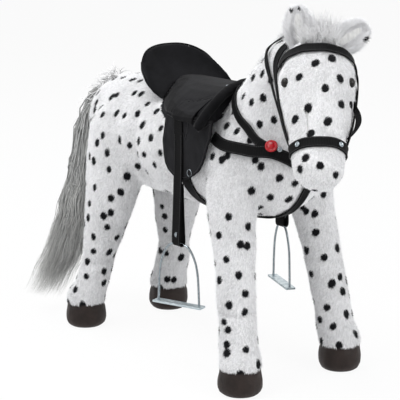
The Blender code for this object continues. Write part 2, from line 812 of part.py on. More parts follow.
def make_hair(looks):
    """The mane along the crest, the forelock between the ears and the tail."""
    base, along, crest = neck_frame()
    rings = []
    for share, turn, _, deep in NECK_SHARES[2:6]:
        centre = base + along * share * NECK_LENGTH - Y_AXIS * turn * NECK_TURN
        centre += crest * (deep * NECK_DEPTH / 2)
        rings.append((*centre, MANE_WIDTH / 2, MANE_HEIGHT))
    mane = loft("mane", rings, Y_AXIS, crest, 8, looks["plush"])

    _, _, left, brow = head_frame()
    ahead = left.cross(Z_AXIS).normalized()
    rings = []
    for up, wide, thick in FORELOCK_SHARES:
        centre = head_place(*FORELOCK_ROOT_SHARE) + Z_AXIS * up * FORELOCK_HEIGHT
        rings.append((*centre, wide * FORELOCK_WIDTH / 2, thick * FORELOCK_THICKNESS / 2))
    forelock = loft("forelock", rings, left, ahead, 10, looks["hair"])

    rings = []
    for down, back, right, size in TAIL_SHARES:
        x = -TORSO_REACH_REAR * TAIL_ROOT_SHARE - back * TAIL_SWEEP_SHARE * TAIL_LENGTH
        y = -right * TAIL_SWEEP_SHARE * TAIL_LENGTH
        half = size * TAIL_DIAMETER / 2
        rings.append((x, y, TAIL_ROOT_Z - down * TAIL_LENGTH, half, half))
    tail = loft("tail", rings, Y_AXIS, X_AXIS, 12, looks["hair"])
    return mane, forelock, tail


def make_hooves(looks):
    """Hoof covers turned as cups, each round a foot plug."""
    hooves, plugs = {}, {}
    around = HOOF_SIDES
    radius = HOOF_DIAMETER / 2
    inner_radius = radius * HOOF_BORE_SHARE - HOOF_WALL
    for pair, length, width in (("front", STANCE_LENGTH, STANCE_WIDTH_FRONT),
                                ("hind", -STANCE_LENGTH, STANCE_WIDTH_REAR)):
        for word, side in SIDES.items():
            centre = Vector((length / 2, side * width / 2, 0))
            profile = [(radius * out, HOOF_HEIGHT * up) for out, up in HOOF_SHARES]
            profile += [(inner_radius, HOOF_HEIGHT), (inner_radius, HOOF_SOLE)]
            points, faces = [], []
            for out, up in profile:
                for i in range(around):
                    turn = math.tau * i / around
                    points.append(centre + Vector((out * math.cos(turn), out * math.sin(turn), up)))
            levels = len(profile)
            for level in range(levels - 1):
                for i in range(around):
                    j = (i + 1) % around
                    low, high = level * around, (level + 1) * around
                    faces.append([low + i, low + j, high + j, high + i])
            faces.append(list(range(around))[::-1])
            faces.append([(levels - 1) * around + i for i in range(around)])
            name = f"hoof_cover_{pair}_{word}"
            hooves[pair + word] = new_solid(name, points, faces, looks["hoof"])
            plug_radius = inner_radius - CLEARANCE
            rings = [(*(centre + Z_AXIS * z), plug_radius, plug_radius)
                     for z in (HOOF_SOLE + CLEARANCE, HOOF_HEIGHT - CLEARANCE)]
            plugs[pair + word] = loft(f"foot_plug_{pair}_{word}", rings, Y_AXIS, X_AXIS, around,
                                      looks["plug"])
    return hooves, plugs


def bent(corners, reach, steps):
    """A route along straight runs with rounded bends."""
    route = [corners[0]]
    for before, corner, after in zip(corners, corners[1:], corners[2:]):
        start = corner + (before - corner).normalized() * min(reach, (before - corner).length / 2)
        end = corner + (after - corner).normalized() * min(reach, (after - corner).length / 2)
        for i in range(steps + 1):
            t = i / steps
            route.append(start.lerp(corner, t).lerp(corner.lerp(end, t), t))
    route.append(corners[-1])
    return route


def make_frame(looks):
    """The welded steel tubes inside: two leg bows, the spine and the neck tube."""
    bows, crests = {}, {}
    for pair, front in (("front", True), ("rear", False)):
        rings = leg_rings(front, 1)
        x, y = rings[0][0], rings[0][1]
        top_x, top_y = rings[-1][0], rings[-1][1]
        knee = Vector(rings[len(rings) // 2][:3])
        corners = [Vector((x, y, HOOF_HEIGHT - PLUG_SOCKET_DEPTH)), Vector((x, y, HOOF_HEIGHT * 1.2)), knee,
                   Vector((top_x, top_y, BOW_CREST_Z))]
        corners += [Vector((corner.x, -corner.y, corner.z)) for corner in corners[::-1]]
        bows[pair] = tube(f"frame_{pair}_bow", bent(corners, BOW_BEND / 2, 4), BOW_DIAMETER / 2,
                          looks["tube"])
        crests[pair] = Vector((top_x, 0, BOW_CREST_Z))
    rear, front = crests["rear"], crests["front"]
    spine = tube("frame_spine", [rear, rear.lerp(front, 0.5), front], SPINE_DIAMETER / 2, looks["tube"])
    neck_end = head_place(0.30, 0.0, -0.1)
    bend = front.lerp(neck_end, 0.5) - X_AXIS * NECK_TUBE_DIAMETER / 2
    neck = tube("frame_neck", spread([front, bend, neck_end], 9), NECK_TUBE_DIAMETER / 2, looks["tube"])
    return bows["front"], bows["rear"], spine, neck


def make_eyes(looks, head_skin):
    """Two domed eyes on shanks pushed into the head's sides."""
    eyes = []
    for word, side in SIDES.items():
        aim = head_place(0.335, side * 1.10, 0.54)
        place, _ = head_skin.nearest(aim)
        normal = head_skin.smooth_normal(aim, EYE_DIAMETER / 3)
        across = normal.orthogonal().normalized()
        along = normal.cross(across)
        rings = []
        for depth_share, size_share in ((-0.5, 0.9), (0.1, 1.0), (0.5, 0.86), (0.85, 0.53), (1.0, 0.15)):
            centre = place + normal * depth_share * EYE_BULGE
            rings.append((*centre, size_share * EYE_DIAMETER / 2, size_share * EYE_DIAMETER / 2))
        eyes.append(loft("eye_" + word, rings, across, along, 16, looks["eye"]))
    return eyes


def pad(name, rows, look):
    """A closed pad from rows of (under, over) point pairs."""
    count, wide = len(rows), len(rows[0])
    points = [pair[0] for row in rows for pair in row] + [pair[1] for row in rows for pair in row]
    top = count * wide
    faces = []
    for i in range(count - 1):
        for j in range(wide - 1):
            a, b = i * wide + j, i * wide + j + 1
            c, d = (i + 1) * wide + j + 1, (i + 1) * wide + j
            faces.append([d, c, b, a])
            faces.append([top + a, top + b, top + c, top + d])
    for j in range(wide - 1):
        faces.append([j, j + 1, top + j + 1, top + j])
        last = (count - 1) * wide
        faces.append([last + j + 1, last + j, top + last + j, top + last + j + 1])
    for i in range(count - 1):
        a, b = i * wide, (i + 1) * wide
        faces.append([b, a, top + a, top + b])
        a, b = a + wide - 1, b + wide - 1
        faces.append([a, b, top + b, top + a])
    return new_solid(name, points, faces, look)


def flat_ring(name, place, across, up, diameter, wire, look, around=16):
    """A round wire ring in the plane of two directions."""
    points, faces = [], []
    sides = 6
    out = across.cross(up).normalized()
    for i in range(around):
        turn = math.tau * i / around
        ray = across * math.cos(turn) + up * math.sin(turn)
        for j in range(sides):
            twist = math.tau * j / sides
            reach = diameter / 2 + wire / 2 * math.cos(twist)
            points.append(place + ray * reach + out * wire / 2 * math.sin(twist))
    for i in range(around):
        for j in range(sides):
            a, b = i * sides + j, i * sides + (j + 1) % sides
            c, d = (i + 1) % around * sides + (j + 1) % sides, (i + 1) % around * sides + j
            faces.append([a, b, c, d])
    return new_solid(name, points, faces, look)


def seat_half(share):
    """The seat's half width at a share of its length from the rear."""
    for (low, a), (high, b) in zip(SEAT_PLAN_SHARES, SEAT_PLAN_SHARES[1:]):
        if low <= share <= high:
            break
    return SEAT_WIDTH / 2 * (a + (b - a) * (share - low) / (high - low))


def seat_top(x_share, out_share):
    """The height of the seat's top, dished along the middle."""
    for (low, a), (high, b) in zip(SEAT_SECTION_SHARES, SEAT_SECTION_SHARES[1:]):
        if low <= out_share <= high:
            break
    fall = a + (b - a) * (out_share - low) / (high - low)
    front = max(x_share - 0.85, 0.0) / 0.15
    dish = math.sin(math.pi * min(max(x_share, 0.0), 1.0)) + front
    return SEAT_CROWN_Z - fall * SEAT_FALL - SEAT_DIP * dish


def make_saddle(looks, skin):
    """Seat pad, cantle, front roll, two flaps, two skirts over the strap tops, and a ring."""
    rows = []
    for out in SEAT_ACROSS_SHARES:
        row = []
        for j in range(SEAT_STATIONS):
            share = j / (SEAT_STATIONS - 1)
            x = SEAT_REAR_X + SEAT_LENGTH * share * (1 + SEAT_FLARE * out**2)
            y = seat_half(share) * out
            low = max(skin.top_reach(x, y) + DRAPE_GAP, SEAT_EDGE_Z)
            high = max(seat_top(share, abs(out)), low + FLAP_THICKNESS)
            lean = SEAT_LEAN * max(1 - share / SEAT_LEAN, 0.0) * (high - low)
            row.append((Vector((x, y, low)), Vector((x - lean, y, high))))
        rows.append(row)
    seat = pad("saddle_seat", rows, looks["cloth"])

    flaps, skirts = {}, {}
    for word, side in SIDES.items():
        rows = []
        for fall, rear, front in FLAP_SHARES:
            z = FLAP_TOP_Z - FLAP_DROP * fall
            row = []
            for j in range(7):
                x = FLAP_REAR_X + FLAP_WIDTH * (rear + (front - rear) * j / 6)
                y = max(skin.side_reach(x, side, z) + DRAPE_GAP, FLAP_PLANE_Y - FLAP_TUCK * fall**2)
                row.append((Vector((x, side * y, z)), Vector((x, side * (y + FLAP_THICKNESS), z))))
            rows.append(row)
        flaps[word] = pad("saddle_flap_" + word, rows, looks["cloth"])
        rows = []
        for j in range(7):
            x = SKIRT_REAR_X + SKIRT_LENGTH * j / 6
            share = (x - SEAT_REAR_X) / SEAT_LENGTH
            line = []
            for out, fall in SKIRT_SHARES:
                z = SEAT_CROWN_Z - SEAT_DIP * math.sin(math.pi * share) - fall * SEAT_FALL + DRAPE_GAP
                line.append(Vector((x, side * out * SEAT_WIDTH / 2, z)))
            row = []
            for k, low in enumerate(line):
                after, before = line[min(k + 1, len(line) - 1)], line[max(k - 1, 0)]
                normal = X_AXIS.cross(after - before).normalized() * -side
                row.append((low, low + normal * SKIRT_THICKNESS))
            rows.append(row)
        skirts[word] = pad("saddle_skirt_" + word, rows, looks["cloth"])

    rows = []
    table = [(*shares, -1) for shares in CANTLE_SHARES] + [(*shares, 1) for shares in CANTLE_SHARES[-2::-1]]
    for rim_back, rim_out, rim_up, foot_back, foot_out, side in table:
        back_z = BARREL_AXIS_Z + BARREL_HEIGHT / 2
        tip = Vector((CANTLE_FRONT_X - CANTLE_DEPTH * rim_back,
                      side * CANTLE_SPREAD / 2 * rim_out - CANTLE_SHIFT,
                      back_z + CANTLE_HEIGHT * rim_up))
        foot = Vector((CANTLE_FRONT_X - CANTLE_DEPTH * foot_back, side * CANTLE_SPREAD / 2 * foot_out, 0))
        foot.z = skin.top_reach(foot.x, foot.y) - CANTLE_THICKNESS / 3
        rise = tip - foot
        out = Vector((-rim_back * CANTLE_DEPTH, side * rim_out * CANTLE_SPREAD / 2, 0)).normalized()
        normal = (out - rise * out.dot(rise) / rise.dot(rise)).normalized()
        row = []
        for j in range(7):
            share = j / 6
            rim = CANTLE_RIM_SHARE if j == 6 else 1.0
            half = CANTLE_THICKNESS / 2 * (1 - CANTLE_THINNING_SHARE * share) * rim
            belly = CANTLE_THICKNESS * CANTLE_BELLY_SHARE * math.sin(share * math.pi)
            middle = foot + rise * share + normal * belly
            row.append((middle - normal * half, middle + normal * half))
        rows.append(row)
    cantle = pad("saddle_cantle", rows, looks["cloth"])

    route = []
    for side in (-1, 1):
        for along, out, up in (ROLL_SHARES[::-1] if side < 0 else ROLL_SHARES[1:]):
            route.append(Vector((SEAT_REAR_X + SEAT_LENGTH * along, side * out * SEAT_WIDTH / 2,
                                 SEAT_CROWN_Z + up * ROLL_DIAMETER)))
    roll = tube("saddle_front_roll", spread(route, 28), ROLL_DIAMETER / 2, looks["cloth"])
    ring_share = (SADDLE_RING_X - SEAT_REAR_X) / SEAT_LENGTH
    lift = RING_WIRE / 2 + SLIDE_GAP
    ring_z = seat_top(ring_share, SADDLE_RING_SHARE) + lift
    ring_place = Vector((SADDLE_RING_X, -SEAT_WIDTH / 2 * SADDLE_RING_SHARE, ring_z))
    ring = flat_ring("saddle_ring", ring_place, X_AXIS, Y_AXIS, RING_DIAMETER, RING_WIRE, looks["steel"])
    return seat, flaps, skirts, cantle, roll, ring


def make_harness(looks, skin):
    """Girth, breastplate straps, rivets, girth rings and the round disc."""
    made = {}
    route = []
    for i in range(15):
        degrees = GIRTH_START_DEG + (360 - 2 * GIRTH_START_DEG) * i / 14
        route.append(torso_place(GIRTH_X, degrees, GIRTH_WIDTH / 2)[0])
    made["girth"] = strap("girth", skin, route, GIRTH_WIDTH, WEBBING, 22, looks["webbing"])
    for word, side in SIDES.items():
        route = [body_place(x, side * y, z) for x, y, z in BREAST_STRAP_SHARES]
        breast = strap("breast_strap_" + word, skin, route, BREAST_STRAP_WIDTH, WEBBING, 20,
                       looks["webbing"], lift=WEBBING + DRAPE_GAP)
        made["breast_" + word] = breast
        route = [body_place(x, side * y, z) for x, y, z in NECK_STRAP_SHARES]
        neck = strap("neck_strap_" + word, skin, route, NECK_STRAP_WIDTH, WEBBING, 16, looks["webbing"])
        made["neck_" + word] = neck
        x, y, z = BREAST_RIVET_SHARE
        rivet = stud("breastplate_rivet_" + word, [breast], body_place(x, side * y, z), RIVET_DIAMETER,
                     RIVET_HEIGHT, looks["steel"])
        made["rivet_" + word] = rivet
        heads = [grown(rivet, CLEARANCE)]
        if word == "right":
            disc = stud("round_disc", [neck, breast], body_place(*ROUND_DISC_SHARE), DISC_DIAMETER,
                        DISC_THICKNESS, looks["red"])
            made["disc"] = disc
            heads.append(grown(disc, CLEARANCE))
        for band in (breast, neck):
            cut(band, *heads)
        fall = (FLAP_TOP_Z - RING_Z) / FLAP_DROP
        reach = FLAP_PLANE_Y - FLAP_TUCK * fall**2 + FLAP_THICKNESS + RING_WIRE / 2 + CLEARANCE
        place = Vector((RING_X, side * reach, RING_Z))
        made["ring_" + word] = flat_ring("girth_ring_" + word, place, X_AXIS, Z_AXIS, RING_DIAMETER,
                                         RING_WIRE, looks["steel"])
    bottom = 1 - BARREL_HEIGHT / (BARREL_AXIS_Z + BARREL_HEIGHT / 2)
    gap = (GIRTH_WIDTH / 2 + 2 * CLEARANCE) / (STANCE_LENGTH / 2)
    first = CHEST_STRAP_SHARES[0][1]
    route = [body_place(GIRTH_X / (STANCE_LENGTH / 2) + gap, 0, bottom + first)]
    route += [body_place(ahead, 0, bottom + up) for ahead, up in CHEST_STRAP_SHARES]
    made["chest"] = strap("chest_strap", skin, route, CHEST_STRAP_WIDTH, WEBBING, 18, looks["webbing"])
    return made


def both_sides(shares):
    """A route over the head from the right side to the left, from its right half in shares."""
    half = [head_place(along, -out, brow) for along, out, brow in shares]
    return half + [head_place(along, out, brow) for along, out, brow in shares[-2::-1]]


def make_bridle(looks, skin):
    """Crown strap, browband, noseband and rein."""
    webbing = looks["webbing"]
    route = []
    for i in range(25):
        turn = math.tau * i / 24
        route.append(head_place(NOSEBAND_SHARE, 0.95 * math.sin(turn), 0.9 * math.cos(turn)))
    made = {
        "noseband": strap("noseband", skin, route, NOSEBAND_WIDTH, WEBBING, 29, webbing, closed=True),
        "crown": strap("crown_strap", skin, both_sides(CROWN_STRAP_SHARES), CROWN_WIDTH, WEBBING, 37,
                       webbing),
        "browband": strap("browband", skin, both_sides(BROWBAND_SHARES), BROWBAND_WIDTH, WEBBING, 19,
                          webbing),
        "rein": strap("rein", skin, both_sides(REIN_SHARES), REIN_WIDTH, WEBBING, 37, webbing),
    }
    along, out, brow = NOSEBAND_RIVET_SHARE
    for word, side in SIDES.items():
        made["rivet_" + word] = stud("noseband_rivet_" + word, [made["noseband"]],
                                     head_place(along, side * out, brow), RIVET_DIAMETER, RIVET_HEIGHT,
                                     looks["steel"])
    return made


def iron_axes(side):
    """The direction across a stirrup iron, in its own plane, and the one square to it."""
    turn = math.radians(IRON_TURN_DEG)
    across = Vector((math.cos(turn), -side * math.sin(turn), 0))
    return across, Vector((-across.y, across.x, 0))


def make_stirrups(looks):
    """A strap with a sewn end loop, a bent wire iron and a flat tread on each side."""
    made = {}
    for word, side in SIDES.items():
        across, square = iron_axes(side)
        hang_y = FLAP_PLANE_Y + FLAP_THICKNESS + SLIDE_GAP + STRAP_THICKNESS / 2
        channel_z = STRAP_BOTTOM_Z + IRON_WIRE / 2 + STRAP_THICKNESS
        loop_top = channel_z + STRAP_LOOP_LENGTH
        heights = [STRAP_PIVOT_Z + STRAP_TOP, STRAP_PIVOT_Z - STRAP_TOP]
        for share in (0.0, 0.15, 0.3, 0.45, 0.6, 0.75, 0.88, 1.0):
            heights.append(BARREL_AXIS_Z + (loop_top - BARREL_AXIS_Z) * share)
        heights += [loop_top - STRAP_END / 2, channel_z, STRAP_BOTTOM_Z]
        places = [Vector((STIRRUP_X, side * hang_y, z)) for z in heights]
        points, faces = [], []
        for i, place in enumerate(places):
            twist = max(min((BARREL_AXIS_Z - place.z) / (BARREL_AXIS_Z - loop_top), 1.0), 0.0)
            wide = X_AXIS.lerp(across, twist).normalized()
            after = places[min(i + 1, len(places) - 1)]
            before = places[max(i - 1, 0)]
            normal = wide.cross(after - before).normalized()
            thick = STRAP_END if i >= len(places) - 3 else STRAP_THICKNESS
            if i == len(places) - 1:
                thick = STRAP_END * 0.6
            for w, t in ((-1, -1), (1, -1), (1, 1), (-1, 1)):
                points.append(place + wide * w * STRAP_WIDTH / 2 + normal * t * thick / 2)
        for i in range(len(places) - 1):
            for k in range(4):
                n = (k + 1) % 4
                faces.append([i * 4 + k, i * 4 + n, i * 4 + 4 + n, i * 4 + 4 + k])
        faces += [[3, 2, 1, 0], [(len(places) - 1) * 4 + k for k in range(4)]]
        body = new_solid("stirrup_strap_" + word, points, faces, looks["webbing"])

        centre = Vector((STIRRUP_X, side * hang_y, channel_z))
        wire = []
        for out, down in IRON_SHARES[::-1]:
            wire.append(centre - across * out * IRON_WIDTH / 2 - Z_AXIS * down * IRON_HEIGHT)
        wire.append(centre)
        for out, down in IRON_SHARES:
            wire.append(centre + across * out * IRON_WIDTH / 2 - Z_AXIS * down * IRON_HEIGHT)
        tail = Z_AXIS * (TREAD_THICKNESS + CLEARANCE)
        wire = [wire[0] - tail] + wire + [wire[-1] - tail]
        iron = tube("stirrup_iron_" + word, wire, IRON_WIRE / 2, looks["steel"])
        cut(body, grown(iron, CLEARANCE * 1.5))

        middle = centre - Z_AXIS * (IRON_HEIGHT + TREAD_THICKNESS / 2)
        points = []
        for lift in (-1, 1):
            for u, v in ((-1, -1), (1, -1), (1, 1), (-1, 1)):
                points.append(middle + across * u * TREAD_LENGTH / 2 + square * v * TREAD_DEPTH / 2
                              + Z_AXIS * lift * TREAD_THICKNESS / 2)
        faces = [[3, 2, 1, 0], [4, 5, 6, 7], [0, 1, 5, 4], [1, 2, 6, 5], [2, 3, 7, 6], [3, 0, 4, 7]]
        tread = new_solid("stirrup_tread_" + word, points, faces, looks["steel"], smooth=False)
        bevel = tread.modifiers.new("eased_edges", "BEVEL")
        bevel.width = TREAD_THICKNESS / 5
        bevel.segments = 2
        cut(tread, grown(iron, CLEARANCE))
        snap_z = loop_top - STRAP_END
        snap_place = Vector((STIRRUP_X, side * hang_y, snap_z)) + square * side * (STRAP_END / 2 + CLEARANCE)
        snap = button("strap_snap_" + word, snap_place, square * side, SNAP_DIAMETER, RIVET_HEIGHT,
                      looks["steel"])
        pivot = Vector((STIRRUP_X, side * hang_y, STRAP_PIVOT_Z))
        made[word] = (body, iron, tread, snap, pivot, centre)
    return made


def pivot_at(solid, place):
    """Put a solid's own origin at a place, with its shape left where it is."""
    for vertex in solid.data.vertices:
        vertex.co = vertex.co - place
    solid.location = place


def settle_origin():
    """Move everything so that the origin is under the middle of the horse."""
    bpy.context.view_layer.update()
    graph = bpy.context.evaluated_depsgraph_get()
    lows, highs = [math.inf] * 3, [-math.inf] * 3
    for thing in bpy.context.scene.objects:
        if thing.hide_render:
            continue
        mesh = thing.evaluated_get(graph).data
        for vertex in mesh.vertices:
            for k in range(3):
                spot = (thing.matrix_world @ vertex.co)[k]
                lows[k] = min(lows[k], spot)
                highs[k] = max(highs[k], spot)
    root = bpy.data.objects.new("horse", None)
    bpy.context.collection.objects.link(root)
    root.location = (-(lows[0] + highs[0]) / 2, -(lows[1] + highs[1]) / 2, -lows[2])
    for thing in bpy.context.scene.objects:
        if thing is not root:
            thing.parent = root


def main():
    clear_scene()
    looks = make_looks()
    parts, smooth = make_soft_body(looks)
    ears = make_ears(looks)
    mane, forelock, tail = make_hair(looks)
    hooves, plugs = make_hooves(looks)
    front_bow, rear_bow, spine, neck_tube = make_frame(looks)

    skin = one_skin(list(smooth.values()), list(parts.values()))
    eyes = make_eyes(looks, Surface([smooth["head_plush"]]))
    seat, flaps, skirts, cantle, roll, ring = make_saddle(looks, skin)
    harness = make_harness(looks, skin)
    bridle = make_bridle(looks, skin)
    stirrups = make_stirrups(looks)

    swollen = {name: grown(part, CLEARANCE) for name, part in parts.items()}
    tubes = {"front": grown(front_bow, CLEARANCE), "rear": grown(rear_bow, CLEARANCE),
             "spine": grown(spine, CLEARANCE), "neck": grown(neck_tube, CLEARANCE)}
    cut(parts["body_plush"], tubes["front"], tubes["rear"], tubes["spine"], tubes["neck"])
    for word in SIDES:
        cut(parts["front_leg_" + word], tubes["front"], swollen["body_plush"])
        cut(parts["hind_leg_" + word], tubes["rear"], swollen["body_plush"])
        cut(plugs["front" + word], tubes["front"])
        cut(plugs["hind" + word], tubes["rear"])
    cut(parts["neck_plush"], swollen["body_plush"], swollen["front_leg_right"], swollen["front_leg_left"],
        tubes["neck"])
    cut(parts["head_plush"], swollen["neck_plush"], tubes["neck"])
    cut(spine, tubes["front"], tubes["rear"])
    cut(neck_tube, tubes["front"], tubes["spine"])
    for ear in ears.values():
        cut(ear, swollen["head_plush"], swollen["neck_plush"])
    cut(mane, swollen["neck_plush"], swollen["body_plush"], swollen["head_plush"])
    cut(forelock, swollen["head_plush"], swollen["neck_plush"], grown(ears["right"], CLEARANCE),
        grown(ears["left"], CLEARANCE))
    cut(tail, swollen["body_plush"], swollen["hind_leg_right"], swollen["hind_leg_left"])
    for eye in eyes:
        cut(eye, swollen["head_plush"])
    around_seat = grown(seat, CLEARANCE)
    around_flaps = [grown(flap, CLEARANCE) for flap in flaps.values()]
    cut(cantle, swollen["body_plush"])
    cut(seat, grown(cantle, CLEARANCE * 2), swollen["body_plush"], swollen["neck_plush"],
        grown(ring, CLEARANCE))
    for word, flap in flaps.items():
        cut(flap, grown(harness["ring_" + word], CLEARANCE))
    cut(roll, around_seat, *around_flaps, swollen["body_plush"], swollen["neck_plush"],
        swollen["front_leg_right"], swollen["front_leg_left"])
    around_roll = grown(roll, CLEARANCE)
    cut(mane, around_roll)
    for skirt in skirts.values():
        cut(skirt, around_seat, around_roll)
    cut(bridle["browband"], grown(bridle["crown"], CLEARANCE))
    for strap_name in ("neck_right", "neck_left", "breast_right", "breast_left"):
        cut(harness[strap_name], around_roll, *around_flaps, swollen["body_plush"], swollen["neck_plush"],
            swollen["front_leg_right"], swollen["front_leg_left"])
    for strap_name in ("girth", "chest"):
        cut(harness[strap_name], swollen["body_plush"])
    for strap_name in ("crown", "rein"):
        cut(bridle[strap_name], swollen["head_plush"], swollen["neck_plush"])
    for strap_name in ("browband", "noseband"):
        cut(bridle[strap_name], swollen["head_plush"])
    for strap_body, iron, tread, snap, strap_pivot, iron_pivot in stirrups.values():
        pivot_at(strap_body, strap_pivot)
        pivot_at(snap, strap_pivot)
        pivot_at(iron, iron_pivot)
        pivot_at(tread, iron_pivot)
    settle_origin()


main()
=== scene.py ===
"""Plush ride-on horse: the finish of every surface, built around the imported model.

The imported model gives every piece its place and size. This file gives the looks: one stuffed plush cover
with printed spots and a short pile, hair at the mane, forelock and tail, a padded cloth saddle, woven
webbing, moulded hooves and bright steel fittings.
"""

import math

import bmesh  # noqa: E402
import bpy  # noqa: E402
import numpy as np  # noqa: E402
from bpy.props import FloatProperty, FloatVectorProperty, IntProperty, PointerProperty  # noqa: E402
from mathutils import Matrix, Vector, noise  # noqa: E402
from mathutils.bvhtree import BVHTree  # noqa: E402
from mathutils.kdtree import KDTree  # noqa: E402


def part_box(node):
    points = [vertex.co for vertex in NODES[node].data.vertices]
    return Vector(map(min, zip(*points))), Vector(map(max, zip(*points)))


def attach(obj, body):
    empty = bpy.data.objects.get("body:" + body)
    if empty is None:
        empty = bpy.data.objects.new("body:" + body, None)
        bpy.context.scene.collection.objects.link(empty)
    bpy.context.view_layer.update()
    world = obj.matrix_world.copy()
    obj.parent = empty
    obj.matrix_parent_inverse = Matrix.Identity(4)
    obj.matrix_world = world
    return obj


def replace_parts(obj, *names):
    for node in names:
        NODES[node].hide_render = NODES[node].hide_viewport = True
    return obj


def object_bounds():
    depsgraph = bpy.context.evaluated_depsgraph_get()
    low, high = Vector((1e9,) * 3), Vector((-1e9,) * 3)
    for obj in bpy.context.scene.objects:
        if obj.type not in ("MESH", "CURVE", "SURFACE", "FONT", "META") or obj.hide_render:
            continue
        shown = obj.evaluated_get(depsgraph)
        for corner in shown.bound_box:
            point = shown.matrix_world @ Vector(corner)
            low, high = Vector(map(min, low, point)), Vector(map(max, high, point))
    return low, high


bl_info = {
    "name": "Plush Ride-on Horse",
    "version": (1, 0, 0),
    "blender": (4, 5, 0),
    "location": "3D View > Sidebar > Horse",
    "description": "Builds the looks of a plush ride-on horse around its packed model",
    "category": "Object",
}

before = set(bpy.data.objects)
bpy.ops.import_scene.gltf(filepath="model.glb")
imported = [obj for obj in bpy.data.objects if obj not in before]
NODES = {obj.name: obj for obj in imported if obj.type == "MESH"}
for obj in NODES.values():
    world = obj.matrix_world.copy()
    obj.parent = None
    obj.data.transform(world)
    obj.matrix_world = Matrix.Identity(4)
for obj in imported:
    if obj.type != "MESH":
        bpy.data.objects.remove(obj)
CAD_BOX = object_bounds()
HORSE = "horse"
SIDES = ("right", "left")
SEED = 11
TURNED_SIDES = 32
UP = Vector((0, 0, 1))

# The photograph: 400 pixels square, seen from the horse's right front quarter.
PHOTO_SIZE = 400
CAMERA_AZIMUTH = math.radians(52.55)
CAMERA_ELEVATION = math.radians(12.85)
CAMERA_DISTANCE = 3.4
CAMERA_LENS = 150.2
SENSOR_WIDTH = 36.0
FOCAL_PIXELS = CAMERA_LENS / SENSOR_WIDTH * PHOTO_SIZE
AIM_BEHIND_STANCE = 0.0155
AIM_HEIGHT = 0.3059

# The way that the face looks, turned to the horse's right.
FACE_TURN = math.radians(-39.0)
FACE = Vector((math.cos(FACE_TURN), math.sin(FACE_TURN), 0))

PLUSH_NODES = ("body_plush", "neck_plush", "head_plush", "front_leg_right", "front_leg_left",
               "hind_leg_right", "hind_leg_left")
TUBE_NODES = ("frame_front_bow", "frame_rear_bow", "frame_spine", "frame_neck")
HOOF_NODES = ("hoof_cover_front_right", "hoof_cover_front_left", "hoof_cover_hind_right",
              "hoof_cover_hind_left")
STRAP_NODES = ("girth", "breast_strap_right", "breast_strap_left", "neck_strap_right", "neck_strap_left",
               "chest_strap", "crown_strap", "browband", "noseband", "rein")
SADDLE_NODES = ("saddle_seat", "saddle_cantle", "saddle_front_roll", "saddle_flap_right", "saddle_flap_left",
                "saddle_skirt_right", "saddle_skirt_left")

# Where the printed spots lie on the photographed side, in pixels across and down the photograph.
SPOTS_IN_VIEW = {
    "head": (
        (315.6, 63), (332, 58), (299.5, 77), (340, 78.4), (325.4, 88), (308.4, 107.8), (341.4, 104),
        (351, 104.6), (295, 119.3), (328, 121.2), (311, 133.3), (306, 157.5), (320.3, 165.4), (300, 169),
        (336, 174.7),
    ),
    "neck": (
        (262.6, 73.3), (253.5, 77.5), (271, 79.6), (244, 95.8), (252, 102), (263.3, 97.2), (260, 124),
        (274.2, 119.3),
    ),
    "shoulder": (
        (233.5, 111), (220.5, 116.8), (227.2, 125.3), (237.4, 131), (250.7, 140), (212.8, 155.8),
        (222.3, 159.3), (228.2, 154.7), (255.3, 159.6), (261.2, 166),
    ),
    "chest": (
        (279.6, 177.6), (295, 182.7), (251.5, 190.3), (270.7, 196.4), (289.3, 198.5), (260.2, 207),
        (259.4, 213), (270.4, 216.3), (314.8, 190.3), (323.5, 194.4), (301.5, 206), (306, 210.7),
        (314.8, 213.3), (295.7, 228.6), (315.8, 232),
    ),
    "near_fore_leg": (
        (228.7, 216.6), (219, 235), (240.4, 244), (247.4, 245.7), (226.4, 259), (238.6, 274.7),
        (245.5, 293), (229.3, 304.8), (245, 311.7), (224.2, 321.4), (228.3, 329.6), (227.2, 344),
        (227.2, 353), (246, 349.2), (256.8, 230.6), (248, 226), (219.5, 280), (258.4, 364),
    ),
    "far_fore_leg": (
        (306.4, 250), (324.3, 257), (337, 247.6), (311.5, 273.6), (331.8, 283.5), (340, 276.5),
        (343, 291), (327.2, 307), (346.3, 313.5), (320, 319.3), (333.3, 326), (355.3, 333.7),
        (339.3, 344.8), (321.5, 341), (334.6, 208),
    ),
    "far_hind_leg": (
        (148.8, 221), (164.8, 215.8), (165.4, 229.5), (153.8, 240.3), (160.2, 249.8), (165.5, 252.3),
        (181, 257), (154.1, 265.6), (167.5, 278.5), (174, 279.2), (149.8, 205.7), (160.6, 287), (162, 206),
    ),
    "near_hind_leg": (
        (95, 187), (120.8, 191.5), (111.4, 197.4), (89.7, 203), (111, 212), (103.7, 215.4), (88.4, 217.3),
        (107.4, 226.7), (93.8, 236.3), (117.2, 237), (93.7, 250.8), (109.3, 251.8), (118, 250.8),
        (87.3, 261), (104, 271), (86.6, 276), (104.2, 282), (75.8, 288.8), (107.6, 293.4), (82.7, 304),
        (107, 304.4),
    ),
    "rump_and_barrel": (
        (112, 96.8), (117.7, 94.7), (135, 92.9), (141.8, 93.8), (133.5, 79.6), (140.7, 81), (96.7, 102.4),
        (95, 109.4), (103, 114.2), (117.2, 113), (125, 115.5), (90.2, 128.5), (103, 135), (97.6, 142.3),
        (120, 139.2), (129.7, 145), (107.5, 152.4), (90.2, 156), (94, 160.6), (109.3, 169.2),
        (127.3, 175.8), (140, 194), (138, 166), (148, 104), (156.8, 111), (138.5, 113.5), (143, 124.5),
        (151.3, 137.6), (161.3, 128), (138.8, 140.7), (160.6, 152.3), (144.3, 154), (154.8, 164.4),
    ),
}

# The sewn seam down the face, from under the brow to the noseband, in pixels of the photograph.
FACE_SEAM = ((306.8, 112), (307.3, 118), (307.8, 124), (308, 130), (308, 134))


